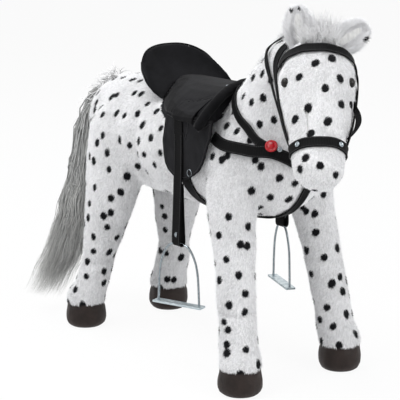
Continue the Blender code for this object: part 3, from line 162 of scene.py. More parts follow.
def linear(code):
    """An sRGB colour, such as "#a1b2c3", as Blender's linear red, green and blue."""
    values = [int(code[i:i + 2], 16) / 255 for i in (1, 3, 5)]
    return tuple(v / 12.92 if v <= 0.04045 else ((v + 0.055) / 1.055) ** 2.4 for v in values)


def colour_prop(name, text, code):
    """A colour that a user can change, given as an sRGB hex value."""
    return FloatVectorProperty(name=name, description=text, default=linear(code), subtype="COLOR", size=3,
                               min=0.0, max=1.0)


def length_prop(name, text, default):
    """A length in metres that a user can change."""
    return FloatProperty(name=name, description=text, default=default, min=0.0, unit="LENGTH", precision=5)


class HorseSizes(bpy.types.PropertyGroup):
    """Sizes of the horse's own details, in metres."""

    skin_voxel: length_prop("Skin voxel", "Size of one face of the plush cover", 0.0045)
    pile_length: length_prop("Pile length", "Length of the plush pile", 0.0047)
    pile_lies: length_prop("Pile depth", "How far the backing lies under the pile's tips", 0.0012)
    pile_per_cm2: IntProperty(name="Pile density", description="Pile tufts on each square centimetre",
                              default=38, min=0)
    fringe_length: length_prop("Fringe length", "Length of the pile over the tops of the hooves", 0.0046)
    spot_across: length_prop("Spot half width", "Half the width of a printed spot", 0.0076)
    spot_along: length_prop("Spot half length", "Half the length of a printed spot along the nap", 0.0088)
    spot_spacing: length_prop("Spot spacing", "Least distance between two spots out of view", 0.027)
    strap_step: length_prop("Strap step", "Distance between two rows of a strap's faces", 0.003)
    stitch_length: length_prop("Stitch length", "Distance from one stitch to the next", 0.0042)
    thread_diameter: length_prop("Thread", "Diameter of the sewing thread", 0.0009)
    saddle_voxel: length_prop("Saddle voxel", "Size of one face of the padded saddle pieces", 0.004)
    tail_strands: IntProperty(name="Tail strands", description="Locks of hair in the tail", default=2400)
    forelock_strands: IntProperty(name="Forelock strands", description="Locks in the forelock", default=1500)
    mane_strands: IntProperty(name="Mane strands", description="Locks in the mane", default=2600)


class HorseColours(bpy.types.PropertyGroup):
    """Colours of the horse's finishes."""

    plush: colour_prop("Plush", "Tips of the plush", "#f8f8f9")
    # Painted shade: the grey of the plush between its tufts and where its nap turns.
    plush_shade: colour_prop("Plush shade", "Plush where the nap turns", "#cdcdce")
    spot: colour_prop("Spots", "Printed spots", "#141417")
    lining: colour_prop("Ear lining", "Short velour inside the ears", "#fafaf8")
    hair: colour_prop("Hair", "Hair of the tail at its core", "#a8a9a8")
    hair_tip: colour_prop("Hair tips", "Hair of the tail at its tips", "#dededb")
    hoof: colour_prop("Hooves", "Brown vinyl of the hooves", "#2c2320")
    cloth: colour_prop("Saddle cloth", "Brushed cloth of the saddle", "#19191b")
    cloth_dark: colour_prop("Dark saddle cloth", "Cloth of the cantle and the front roll", "#131315")
    webbing: colour_prop("Webbing", "Woven straps", "#0d0d0e")
    disc: colour_prop("Disc", "Red enamel of the round disc", "#b0101c")


# Mesh helpers


def linked(name, data):
    """A new object in the scene for a mesh, a camera or a lamp."""
    made = bpy.data.objects.new(name, data)
    bpy.context.scene.collection.objects.link(made)
    return made


def shape_from(mesh):
    """A mesh opened for editing."""
    shape = bmesh.new()
    shape.from_mesh(mesh)
    return shape


def closed_up(shape, mesh):
    """The mesh with an edited shape written back to it."""
    shape.to_mesh(mesh)
    shape.free()
    return mesh


def solid_of(names, swell=0.0):
    """CAD nodes as one shape with merged corners, each swollen by a small amount."""
    whole = bmesh.new()
    for name in names:
        one = shape_from(NODES[name].data)
        bmesh.ops.remove_doubles(one, verts=one.verts, dist=1e-5)
        one.normal_update()
        for vert, place in [(vert, vert.co + vert.normal * swell) for vert in one.verts]:
            vert.co = place
        mesh = closed_up(one, bpy.data.meshes.new("copy"))
        whole.from_mesh(mesh)
        bpy.data.meshes.remove(mesh)
    return whole


def values_of(items, key, kind=np.float64, wide=3):
    """One property of every item of a mesh, as rows of an array."""
    values = np.empty(len(items) * wide, kind)
    items.foreach_get(key, values)
    return values.reshape(-1, wide) if wide > 1 else values


def arrays_of(mesh):
    """A mesh's corner places, its edges and its corner normals as arrays."""
    return (values_of(mesh.vertices, "co"), values_of(mesh.edges, "vertices", np.int64, 2),
            values_of(mesh.vertex_normals, "vector"))


def place_points(mesh, points):
    """Moves a mesh's corners to new places and returns their normals there."""
    mesh.vertices.foreach_set("co", points.ravel())
    mesh.update()
    return values_of(mesh.vertex_normals, "vector")


def facing_out(mesh, merge=None):
    """The mesh with its faces turned outwards, and its doubled corners merged first where asked."""
    shape = shape_from(mesh)
    if merge:
        bmesh.ops.remove_doubles(shape, verts=shape.verts, dist=merge)
    bmesh.ops.recalc_face_normals(shape, faces=shape.faces)
    return closed_up(shape, mesh)


def piece_of(name, mesh, *materials):
    """A new object at the origin that shows a mesh in the given materials."""
    mesh.name = name
    mesh.shade_smooth()
    mesh.materials.clear()
    for material in materials:
        mesh.materials.append(material)
    return linked(name, mesh)


def mesh_from(points, faces=(), edges=()):
    """A mesh from plain lists of places, faces and edges."""
    mesh = bpy.data.meshes.new("shape")
    mesh.from_pydata([tuple(p) for p in points], [tuple(e) for e in edges], [tuple(f) for f in faces])
    mesh.update()
    return mesh


def mesh_along(lines):
    """A mesh of bare lines through rows of places."""
    points, edges = [], []
    for line in lines:
        edges += [(len(points) + i, len(points) + i + 1) for i in range(len(line) - 1)]
        points += list(line)
    return mesh_from(points, edges=edges)


def tube_faces(rings, around, closed=False):
    """The faces that join rings of corners into a tube, capped at both ends unless it closes on itself."""
    faces = []
    for i in range(rings if closed else rings - 1):
        j = (i + 1) % rings
        for k in range(around):
            n = (k + 1) % around
            faces.append((i * around + k, i * around + n, j * around + n, j * around + k))
    if not closed:
        faces += [range(around)[::-1], range((rings - 1) * around, rings * around)]
    return faces


def rays(side, other, around):
    """Directions spaced evenly round a circle, from one direction towards another."""
    turns = [math.tau * i / around for i in range(around)]
    return [side * math.cos(turn) + other * math.sin(turn) for turn in turns]


def settled(piece):
    """The object's modifiers turned into its plain mesh."""
    bpy.context.view_layer.update()
    graph = bpy.context.evaluated_depsgraph_get()
    mesh = bpy.data.meshes.new_from_object(piece.evaluated_get(graph), preserve_all_data_layers=True,
                                           depsgraph=graph)
    old = piece.data
    piece.modifiers.clear()
    piece.data = mesh
    bpy.data.meshes.remove(old)
    mesh.name = piece.name
    return piece


def outer_skin(mesh):
    """The mesh without the small closed shells that lie inside it."""
    edges = values_of(mesh.edges, "vertices", np.int64, 2)
    label, before = np.arange(len(mesh.vertices)), None
    while before is None or (label != before).any():
        before = label.copy()
        np.minimum.at(label, edges.ravel(), np.repeat(label[edges].min(1), 2))
        label = label[label]
    keep = np.bincount(label).argmax()
    shape = shape_from(mesh)
    inner = [vert for vert in shape.verts if label[vert.index] != keep]
    bmesh.ops.delete(shape, geom=inner, context="VERTS")
    return closed_up(shape, mesh)


def remeshed(shape, voxel):
    """A shape turned into the mesh of one closed skin of even square faces."""
    holder = linked("holder", closed_up(shape, bpy.data.meshes.new("shape")))
    remesh = holder.modifiers.new("even_faces", "REMESH")
    remesh.mode, remesh.voxel_size = "VOXEL", voxel
    mesh = settled(holder).data
    bpy.data.objects.remove(holder)
    return outer_skin(mesh)


def eased(points, edges, rounds, pull=0.5):
    """Corners drawn towards their neighbours and let back, so that a form keeps its size."""
    first, second = edges.T
    count = np.bincount(edges.ravel(), minlength=len(points))[:, None]
    for _ in range(rounds):
        for step in (pull, -pull * 1.06):
            total = np.stack([
                np.bincount(first, points[second, k], len(points))
                + np.bincount(second, points[first, k], len(points)) for k in range(3)
            ], 1)
            points = points + (total / count - points) * step
    return points


def search_tree(shape):
    """A search tree over a shape."""
    tree = BVHTree.FromBMesh(shape)
    shape.free()
    return tree


def tree_of(names):
    """A search tree over CAD nodes."""
    return search_tree(solid_of(names))


def mesh_tree(mesh):
    """A search tree over a mesh."""
    return search_tree(shape_from(mesh))


def gaps_to(points, tree):
    """Each point's distance to the nearest face of a tree."""
    return np.array([tree.find_nearest(Vector(p))[3] for p in points])


def set_values(mesh, **layers):
    """Stores layers of values on a mesh's corners, one number or one vector for each corner."""
    for name, values in layers.items():
        values = np.ascontiguousarray(values, dtype=np.float32)
        kind, key = ("FLOAT", "value") if values.ndim == 1 else ("FLOAT_VECTOR", "vector")
        layer = mesh.attributes.get(name) or mesh.attributes.new(name, kind, "POINT")
        layer.data.foreach_set(key, values.ravel())


def smooth_line(points, step):
    """A line through points on a Catmull-Rom curve, as rows a step apart."""
    points = np.asarray(points, float)
    dense = []
    last = len(points) - 1
    for i in range(last):
        a, b = points[max(i - 1, 0)], points[i]
        c, d = points[i + 1], points[min(i + 2, last)]
        for t in np.linspace(0, 1, 12, endpoint=False):
            dense.append((2 * b + (c - a) * t + (2 * a - 5 * b + 4 * c - d) * t**2
                          + (3 * b - a - 3 * c + d) * t**3) / 2)
    dense = np.array([*dense, points[last]])
    run = np.concatenate([[0], np.cumsum(np.linalg.norm(np.diff(dense[:, :3], axis=0), axis=1))])
    marks = np.linspace(0, run[-1], max(int(round(run[-1] / step)), 2) + 1)
    return np.stack([np.interp(marks, run, dense[:, k]) for k in range(dense.shape[1])], 1)


def row_at(rows, spot):
    """The row at a place between two rows, counted in rows, and the step from the one to the other."""
    low = min(int(spot), len(rows) - 2)
    step = rows[low + 1] - rows[low]
    return rows[low] + step * (spot - low), step


def ways_along(line, closed):
    """The direction of a line at each of its rows."""
    before, after = np.roll(line, 1, 0), np.roll(line, -1, 0)
    if not closed:
        before[0], after[-1] = line[0], line[-1]
    ahead = after - before
    return ahead / np.maximum(np.linalg.norm(ahead, axis=1, keepdims=True), 1e-9)


def towards(axis, way):
    """An axis turned round where needed, so that it points to the side of a direction."""
    return -axis if axis.dot(way) < 0 else axis


def unit(way):
    """A direction of length one."""
    return way / np.linalg.norm(way)


def axes_of(name):
    """A small CAD node's middle, and its axes from its longest side to its shortest, with half sizes."""
    shape = solid_of([name])
    points = np.array([vert.co for vert in shape.verts])
    shape.free()
    middle = (points.max(0) + points.min(0)) / 2
    _, axes = np.linalg.eigh(np.cov((points - points.mean(0)).T))
    axes = axes[:, ::-1].T
    spans = (points - middle) @ axes.T
    middle = middle + ((spans.max(0) + spans.min(0)) / 2) @ axes
    halves = (spans.max(0) - spans.min(0)) / 2
    return Vector(middle), [Vector(a) for a in axes], halves


def picked(corners, count, random):
    """Triangles picked by chance, each as often as its area asks, and the cross product of every triangle."""
    cross = np.cross(corners[:, 1] - corners[:, 0], corners[:, 2] - corners[:, 0])
    areas = np.linalg.norm(cross, axis=1)
    return random.choice(len(corners), count, p=areas / areas.sum()), cross


def spine_of(name, count, closed=False):
    """The middle line of a long CAD node: rows of place, side direction, half width and half thickness.

    The slowest waves of the node's own mesh run along it, so they order its surface from end to end.
    """
    shape = solid_of([name])
    bmesh.ops.triangulate(shape, faces=shape.faces)
    shape.verts.index_update()
    points = np.array([vert.co for vert in shape.verts])
    faces = np.array([[vert.index for vert in face.verts] for face in shape.faces])
    pull = np.zeros((len(points), len(points)))
    for edge in shape.edges:
        i, j = edge.verts[0].index, edge.verts[1].index
        pull[i, j] = pull[j, i] = 1 / max(edge.calc_length(), 1e-4) ** 2
    shape.free()
    _, waves = np.linalg.eigh(np.diag(pull.sum(1)) - pull)

    random = np.random.default_rng(SEED)
    picks, _ = picked(points[faces], 60 * count, random)
    share = random.random((len(picks), 2))
    share = np.where(share.sum(1, keepdims=True) > 1, 1 - share, share)
    share = np.concatenate([1 - share.sum(1, keepdims=True), share], 1)
    places = np.einsum("ij,ijk->ik", share, points[faces][picks])
    if closed:
        order = np.arctan2(waves[:, 2], waves[:, 1])
        along = np.angle((np.exp(1j * order)[faces[picks]] * share).sum(1))
    else:
        along = (waves[:, 1][faces[picks]] * share).sum(1)
    groups = np.array_split(places[np.argsort(along)], count)
    middles = np.array([group.mean(0) for group in groups])
    if closed:
        middles = (np.roll(middles, 1, 0) + 2 * middles + np.roll(middles, -1, 0)) / 4
        ahead = np.roll(middles, -1, 0) - np.roll(middles, 1, 0)
    else:
        ahead = np.gradient(middles, axis=0)
    ahead /= np.linalg.norm(ahead, axis=1, keepdims=True)
    rows, before = [], None
    for middle, forward, group in zip(middles, ahead, groups):
        spread = group - middle
        spread -= np.outer(spread @ forward, forward)
        _, _, axes = np.linalg.svd(spread, full_matrices=False)
        side = axes[0] if before is None or axes[0] @ before >= 0 else -axes[0]
        half_width = np.percentile(np.abs(spread @ side), 98)
        half_thick = np.percentile(np.abs(spread @ np.cross(forward, side)), 85)
        rows.append([*middle, *side, half_width, half_thick])
        before = side
    rows = np.array(rows)
    if closed:
        return np.concatenate([rows, rows[:1]])
    first, last = rows[0].copy(), rows[-1].copy()
    first[:3] -= (rows[1, :3] - rows[0, :3]) / 2
    last[:3] += (rows[-1, :3] - rows[-2, :3]) / 2
    return np.concatenate([[first], rows, [last]])


# The camera's own axes, for placing what the photograph shows


def stance_middle():
    """The point on the floor midway between the four hooves."""
    ends = [corner.x for name in HOOF_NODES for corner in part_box(name)]
    return Vector((sum(ends) / len(ends), 0, 0))


def camera_axes():
    """The camera's place, and its right, up and back directions."""
    aim = stance_middle() + Vector((-AIM_BEHIND_STANCE, 0, AIM_HEIGHT))
    right = Vector((math.cos(CAMERA_AZIMUTH), math.sin(CAMERA_AZIMUTH), 0))
    back = Vector((math.sin(CAMERA_AZIMUTH) * math.cos(CAMERA_ELEVATION),
                   -math.cos(CAMERA_AZIMUTH) * math.cos(CAMERA_ELEVATION), math.sin(CAMERA_ELEVATION)))
    return aim + back * CAMERA_DISTANCE, right, back.cross(right), back


def pixel_of(places):
    """Where places fall in the photograph, in pixels across and down. The far side is taken mirrored."""
    eye, right, up, back = (np.array(axis) for axis in camera_axes())
    away = np.array(places, float)
    away[:, 1] = -np.abs(away[:, 1])
    away = away - eye
    scale = FOCAL_PIXELS / -(away @ back)
    return PHOTO_SIZE / 2 + away @ right * scale, PHOTO_SIZE / 2 - away @ up * scale


def sight(across, down):
    """The way from the camera through a pixel of the photograph, one unit deep."""
    _, right, up, back = camera_axes()
    half = PHOTO_SIZE / 2
    return right * ((across - half) / FOCAL_PIXELS) + up * ((half - down) / FOCAL_PIXELS) - back


def seen_at(tree, across, down):
    """Where the sight line through a pixel of the photograph meets a skin, with the normal there."""
    return tree.ray_cast(camera_axes()[0], sight(across, down).normalized())[:2]


# Materials


def add(tree, kind, inputs=None, **settings):
    """Adds a node to a tree, sets its properties, then sets or links its inputs."""
    made = tree.nodes.new(kind)
    for key, value in settings.items():
        setattr(made, key, value)
    for key, value in (inputs or {}).items():
        if isinstance(value, bpy.types.NodeSocket):
            tree.links.new(value, made.inputs[key])
        else:
            made.inputs[key].default_value = value
    return made


def ramp(tree, factor, *stops):
    """A colour ramp over a factor, from (position, colour) stops."""
    made = add(tree, "ShaderNodeValToRGB", {"Fac": factor})
    elements = made.color_ramp.elements
    while len(elements) < len(stops):
        elements.new(0.5)
    for element, (position, colour) in zip(elements, stops):
        element.position = position
        element.color = (*colour, 1.0)
    return made.outputs["Color"]


def new_material(name):
    """An empty material with its tree."""
    material = bpy.data.materials.new(name)
    material.use_nodes = True
    tree = material.node_tree
    tree.nodes.clear()
    return material, tree


def object_place(tree):
    """The surface point in the object's own space."""
    return add(tree, "ShaderNodeTexCoord").outputs["Object"]


def finish(tree, **inputs):
    """Ends a material with one Principled shader."""
    names = {key.replace("_", " "): value for key, value in inputs.items()}
    shader = add(tree, "ShaderNodeBsdfPrincipled", names)
    add(tree, "ShaderNodeOutputMaterial", {"Surface": shader.outputs["BSDF"]})


def grain(tree, place, scale, detail=2.0, roughness=0.5, stretch=None):
    """Noise of a scale in waves for each metre, which may be stretched."""
    if stretch:
        place = add(tree, "ShaderNodeMapping", {"Vector": place, "Scale": stretch}).outputs["Vector"]
    return add(tree, "ShaderNodeTexNoise", {"Vector": place, "Scale": scale, "Detail": detail,
                                            "Roughness": roughness}).outputs["Fac"]


def maths(tree, operation, *values):
    """One sum, product or other operation on up to three values."""
    return add(tree, "ShaderNodeMath", dict(enumerate(values)), operation=operation).outputs[0]


def weighed(tree, first, weight, second, other):
    """Two values added, each times its own weight."""
    return maths(tree, "MULTIPLY_ADD", first, weight, maths(tree, "MULTIPLY", second, other))


def spread(tree, value, **limits):
    """A value moved from one range to another."""
    limits = {key.replace("_", " "): limit for key, limit in limits.items()}
    return add(tree, "ShaderNodeMapRange", {"Value": value, **limits}).outputs["Result"]


def stored(tree, name):
    """A value stored on the mesh under a name."""
    return add(tree, "ShaderNodeAttribute", attribute_name=name).outputs["Fac"]


def mixed(tree, factor, first, second):
    """One colour blended into another."""
    made = add(tree, "ShaderNodeMix", {"Factor": factor}, data_type="RGBA")
    for key, value in (("A", first), ("B", second)):
        socket = [s for s in made.inputs if s.name == key and s.type == "RGBA"][0]
        if isinstance(value, bpy.types.NodeSocket):
            tree.links.new(value, socket)
        else:
            socket.default_value = (*value, 1.0)
    return [s for s in made.outputs if s.type == "RGBA"][0]


def bump(tree, height, distance, strength=1.0):
    """A bump of a height field, in metres."""
    made = add(tree, "ShaderNodeBump", {"Height": height, "Distance": distance, "Strength": strength})
    return made.outputs["Normal"]


def tone_of(colour, factor=1.0):
    """A colour from its sRGB code or from a user's colour and a factor on it, made paler or darker."""
    if isinstance(colour, str):
        parts = linear(colour)
    else:
        parts = getattr(bpy.context.scene.horse_colours, colour[0])
        factor = factor * colour[1]
    return tuple(min(part * factor, 1.0) for part in parts)


def spotted_plush(name, pale, shade, dark):
    """Short-pile polyester plush, knitted and brushed: matt, with pale tips over a greyer ground.

    The greyer ground is painted shade between the tufts and where the nap turns. The spots are printed, so
    their edges bleed a little into the pile.
    """
    material, tree = new_material(name)
    place = object_place(tree)
    ragged = maths(tree, "MULTIPLY_ADD", grain(tree, place, 420, 3.0), 0.42, -0.21)
    uneven = maths(tree, "MULTIPLY_ADD", grain(tree, place, 90, 1.0), 0.44, -0.22)
    edge = maths(tree, "ADD", maths(tree, "ADD", stored(tree, "spot_gap"), ragged), uneven)
    inside = spread(tree, edge, From_Min=1.12, From_Max=0.86)
    nap = grain(tree, place, 16, 3.0, 0.6, (1.0, 1.0, 0.45))
    tufts = grain(tree, place, 240, 2.0, 0.6, (1.0, 1.0, 0.4))
    turned = maths(tree, "ADD", weighed(tree, tufts, 0.45, nap, 0.45), -0.06)
    lifted = maths(tree, "MULTIPLY_ADD", stored(tree, "tint"), 0.34, turned)
    # The grey end of this ramp is painted shade: the shade between the tufts and where the nap turns.
    plush_tone_and_shade = ramp(tree, lifted, (0.30, tone_of(shade)), (0.66, tone_of(pale)))
    finish(tree, Base_Color=mixed(tree, inside, plush_tone_and_shade, tone_of(dark)),
           Roughness=0.92, Sheen_Weight=0.12, Sheen_Roughness=0.5, Specular_IOR_Level=0.08,
           Normal=bump(tree, tufts, 0.0014, 0.6))
    return material


def hair_fibre(name, root, tip):
    """Modacrylic wig fibre: fine smooth strands whose tone changes from lock to lock."""
    material, tree = new_material(name)
    tone = weighed(tree, stored(tree, "tint"), 0.55, stored(tree, "along"), 0.45)
    colour = ramp(tree, tone, (0.04, tone_of(root, 0.6)), (0.38, tone_of(root)), (0.85, tone_of(tip)))
    finish(tree, Base_Color=colour, Roughness=0.55, Specular_IOR_Level=0.25, Sheen_Weight=0.15)
    return material


def hoof_vinyl(name, colour):
    """Embossed PVC sheet: brown, satin, with a fine leather grain and rubbed lower edges."""
    material, tree = new_material(name)
    place = object_place(tree)
    cells = add(tree, "ShaderNodeTexVoronoi", {"Vector": place, "Scale": 420.0}).outputs["Distance"]
    cloud = grain(tree, place, 45, 3.0)
    height = add(tree, "ShaderNodeSeparateXYZ", {"Vector": place}).outputs["Z"]
    wear = maths(tree, "MULTIPLY", spread(tree, height, From_Min=0.016, From_Max=0.0), cloud)
    base = ramp(tree, cloud, (0.35, tone_of(colour, 0.62)), (0.62, tone_of(colour)))
    finish(tree, Base_Color=mixed(tree, wear, base, tone_of(colour, 1.9)), Roughness=0.5,
           Specular_IOR_Level=0.22, Normal=bump(tree, maths(tree, "ADD", cells, cloud), 0.0007, 0.5))
    return material


def brushed_cloth(name, colour):
    """Brushed polyester suede cloth: black, matt, with rubbed paler clouds and a fine nap."""
    material, tree = new_material(name)
    place = object_place(tree)
    nap = grain(tree, place, 750, 2.0, 0.7)
    tone = weighed(tree, nap, 0.35, grain(tree, place, 24, 4.0, 0.62), 0.75)
    stops = [(at, tone_of(colour, factor)) for at, factor in ((0.36, 0.62), (0.52, 1.0), (0.74, 1.5))]
    finish(tree, Base_Color=ramp(tree, tone, *stops), Roughness=0.88, Sheen_Weight=0.05,
           Sheen_Roughness=0.45, Specular_IOR_Level=0.08, Normal=bump(tree, nap, 0.0005, 0.5))
    return material


def woven_webbing(name, colour):
    """Polypropylene webbing: a plain weave 1.2 mm a rib, with a thicker woven edge and a faint gloss.

    The UV map is in metres, along the strap and across it. The rib is drawn at 2.4 mm, because the true
    one is too fine to show.
    """
    material, tree = new_material(name)
    place = object_place(tree)
    uv = add(tree, "ShaderNodeUVMap", uv_map="UVMap").outputs["UV"]
    ribs = add(tree, "ShaderNodeTexWave", {"Vector": uv, "Scale": 66.0, "Distortion": 0.4,
                                           "Detail Scale": 4.0}, bands_direction="Y").outputs["Fac"]
    warp = add(tree, "ShaderNodeTexWave", {"Vector": uv, "Scale": 100.0}, bands_direction="X").outputs["Fac"]
    weave = weighed(tree, ribs, 0.7, warp, 0.3)
    tone = weighed(tree, grain(tree, place, 60, 2.0), 0.5, weave, 0.5)
    stops = [(at, tone_of(colour, factor)) for at, factor in ((0.22, 0.55), (0.5, 1.0), (0.8, 1.6))]
    finish(tree, Base_Color=ramp(tree, tone, *stops), Roughness=0.62, Specular_IOR_Level=0.07,
           Normal=bump(tree, weave, 0.0004, 0.6))
    return material


def plain_finish(name, noise_sizes, low, high, relief, shader):
    """A finish whose tone, relief and gloss all follow one noise."""
    material, tree = new_material(name)
    marks = grain(tree, object_place(tree), *noise_sizes)
    stops = [(at, tone_of(colour)) for at, colour in (low, high)]
    inputs = dict(shader, Base_Color=ramp(tree, marks, *stops))
    if isinstance(inputs["Roughness"], tuple):
        smooth, rough = inputs["Roughness"]
        inputs["Roughness"] = spread(tree, marks, To_Min=smooth, To_Max=rough)
    if relief:
        inputs["Normal"] = bump(tree, marks, *relief)
    finish(tree, **inputs)
    return material


# Every finish: its maker, its material's name, and its colours, as sRGB codes or as (user's colour, factor).
# A plain finish has its noise, its two tones, its relief and its shader's values instead.
FINISHES = {
    "plush": (spotted_plush, "plush_short_pile_polyester", ("plush", 1), ("plush_shade", 1), ("spot", 1)),
    # The ears' plush is a paler copy of the body's plush: painted light against the shade that their long
    # pile casts on itself.
    "ear_plush": (spotted_plush, "plush_long_pile_polyester", "#fdfdfe", "#e9e9ea", ("spot", 1)),
    "hair": (hair_fibre, "tail_modacrylic_hair", ("hair", 1), ("hair_tip", 1)),
    "pale_hair": (hair_fibre, "mane_modacrylic_hair", "#dededf", "#fafafb"),
    "forelock": (hair_fibre, "forelock_modacrylic_hair", "#f0f0f0", "#f8f8f9"),
    "hoof": (hoof_vinyl, "hoof_cover_embossed_vinyl", ("hoof", 1)),
    "cloth": (brushed_cloth, "saddle_brushed_cloth", ("cloth", 1)),
    "flap": (brushed_cloth, "saddle_flap_cloth", ("cloth", 1.25)),
    "dark_cloth": (brushed_cloth, "saddle_dark_cloth", ("cloth_dark", 1)),
    # The front roll's cloth; the same darker cloth also paints the shade behind the seat's panel.
    "roll_cloth": (brushed_cloth, "saddle_roll_cloth", ("cloth_dark", 0.7)),
    "webbing": (woven_webbing, "strap_polypropylene_webbing", ("webbing", 1)),
    # Short warp-knit velour: a dull grey lining with fine soft streaks.
    "lining": (plain_finish, "ear_lining_velour", (260, 3.0, 0.6, (1.0, 1.0, 0.3)), (0.3, ("lining", 0.72)),
               (0.75, ("lining", 1)), (0.0008, 0.5),
               {"Roughness": 0.95, "Sheen_Weight": 0.1, "Specular_IOR_Level": 0.08}),
    # Bonded polyester thread: dark grey twisted yarn with a slight shine.
    "thread": (plain_finish, "thread_bonded_polyester", (900, 1.0), (0.3, "#1c1c1e"), (0.7, "#39393b"), None,
               {"Roughness": 0.5, "Specular_IOR_Level": 0.4}),
    # Spun polyester thread, pale grey: it sinks into the pile and shows as a faint line. Its grey is partly
    # the thread and partly painted shade of the seam's groove.
    "seam": (plain_finish, "thread_spun_polyester", (300, 2.0), (0.3, "#a2a2a0"), (0.7, "#c8c8c6"), None,
             {"Roughness": 0.8, "Specular_IOR_Level": 0.2}),
    # Nickel-plated steel wire, barrel polished: bright, with fine wear marks and a bluish cast.
    "steel": (plain_finish, "steel_nickel_plated", (260, 4.0, 0.7), (0.3, "#6f777c"), (0.7, "#aab2b7"),
              (0.0002, 0.2), {"Metallic": 1.0, "Roughness": (0.14, 0.30)}),
    # Zinc-plated steel strip, brushed along its length: pale, with straight fine lines.
    "strip": (plain_finish, "steel_zinc_plated_strip", (500, 3.0, 0.6, (0.2, 0.2, 1.0)), (0.3, "#9dabb3"),
              (0.7, "#dfe8ea"), (0.0002, 0.3), {"Metallic": 1.0, "Roughness": (0.28, 0.46)}),
    # Powder-coated steel tube inside the stuffing: dark grey with a fine orange peel.
    "tube": (plain_finish, "steel_powder_coated", (700, 2.0), (0.3, "#3a3c3e"), (0.7, "#4a4c4e"),
             (0.0003, 0.4), {"Roughness": 0.5}),
    # Black polypropylene, injection moulded: satin with a spark-eroded grain.
    "plug": (plain_finish, "plug_moulded_polypropylene", (900, 2.0), (0.3, "#161616"), (0.7, "#242424"),
             (0.0002, 0.4), {"Roughness": 0.55}),
    # Cast black acrylic, tumble polished: deep and very glossy, with faint brown depth.
    "eye": (plain_finish, "eye_black_acrylic", (120, 2.0), (0.3, "#050505"), (0.8, "#1a120d"), None,
            {"Roughness": 0.06, "Specular_IOR_Level": 0.30}),
    # Soft enamel under epoxy: clear glossy red with slight pooling.
    "disc": (plain_finish, "disc_red_enamel", (140, 3.0), (0.3, ("disc", 0.55)), (0.6, ("disc", 1)),
             (0.0006, 0.5), {"Roughness": 0.16, "Specular_IOR_Level": 0.3, "Coat_Weight": 0.15,
                             "Coat_Roughness": 0.05}),
}


def look_of(name):
    """The material of a finish, made the first time that it is asked for."""
    maker, title, *values = FINISHES[name]
    return bpy.data.materials.get(title) or maker(title, *values)


# Geometry node trees


def new_tree(name, **inputs):
    """A geometry tree with one geometry in and out, and named inputs with their defaults."""
    tree = bpy.data.node_groups.new(name, "GeometryNodeTree")
    kinds = {float: "NodeSocketFloat", int: "NodeSocketInt"}
    tree.interface.new_socket("Geometry", in_out="INPUT", socket_type="NodeSocketGeometry")
    for key, value in inputs.items():
        kind = kinds.get(type(value), "NodeSocketMaterial")
        socket = tree.interface.new_socket(key.replace("_", " "), in_out="INPUT", socket_type=kind)
        if kind != "NodeSocketMaterial":
            socket.default_value = value
    tree.interface.new_socket("Geometry", in_out="OUTPUT", socket_type="NodeSocketGeometry")
    return tree, tree.nodes.new("NodeGroupInput").outputs


def end_tree(tree, geometry, material):
    """Ends a tree with real geometry in one material."""
    real = add(tree, "GeometryNodeRealizeInstances", {"Geometry": geometry}).outputs["Geometry"]
    dressed = add(tree, "GeometryNodeSetMaterial", {"Geometry": real, "Material": material})
    out = tree.nodes.new("NodeGroupOutput")
    tree.links.new(dressed.outputs["Geometry"], out.inputs[0])


def grown_from(name, mesh, tree_name, **inputs):
    """A plain mesh piece made by running a geometry tree on a mesh. The tree is made once."""
    piece = linked(name, mesh)
    tree = bpy.data.node_groups.get(tree_name) or TREES[tree_name]()
    modifier = piece.modifiers.new(tree.name, "NODES")
    modifier.node_group = tree
    sockets = {item.name: item.identifier for item in tree.interface.items_tree
               if item.item_type == "SOCKET" and item.in_out == "INPUT"}
    for key, value in inputs.items():
        modifier[sockets[key.replace("_", " ")]] = value
    return settled(piece)


def layer_in(tree, name, kind="FLOAT"):
    """A layer of values that the mesh brings to a geometry tree."""
    made = add(tree, "GeometryNodeInputNamedAttribute", {"Name": name}, data_type=kind)
    return made.outputs["Attribute"]


def chance(tree, low, high, seed):
    """A number by chance for each point."""
    made = add(tree, "FunctionNodeRandomValue", {2: low, 3: high, "Seed": seed}, data_type="FLOAT")
    return made.outputs[1]


def scaled(tree, vector, factor):
    """A vector made longer by a factor."""
    return add(tree, "ShaderNodeVectorMath", {0: vector, "Scale": factor}, operation="SCALE").outputs[0]


def summed(tree, first, second):
    """Two vectors added."""
    return add(tree, "ShaderNodeVectorMath", {0: first, 1: second}, operation="ADD").outputs[0]


def combined(tree, **parts):
    """A vector from its X, Y and Z."""
    return add(tree, "ShaderNodeCombineXYZ", parts).outputs[0]


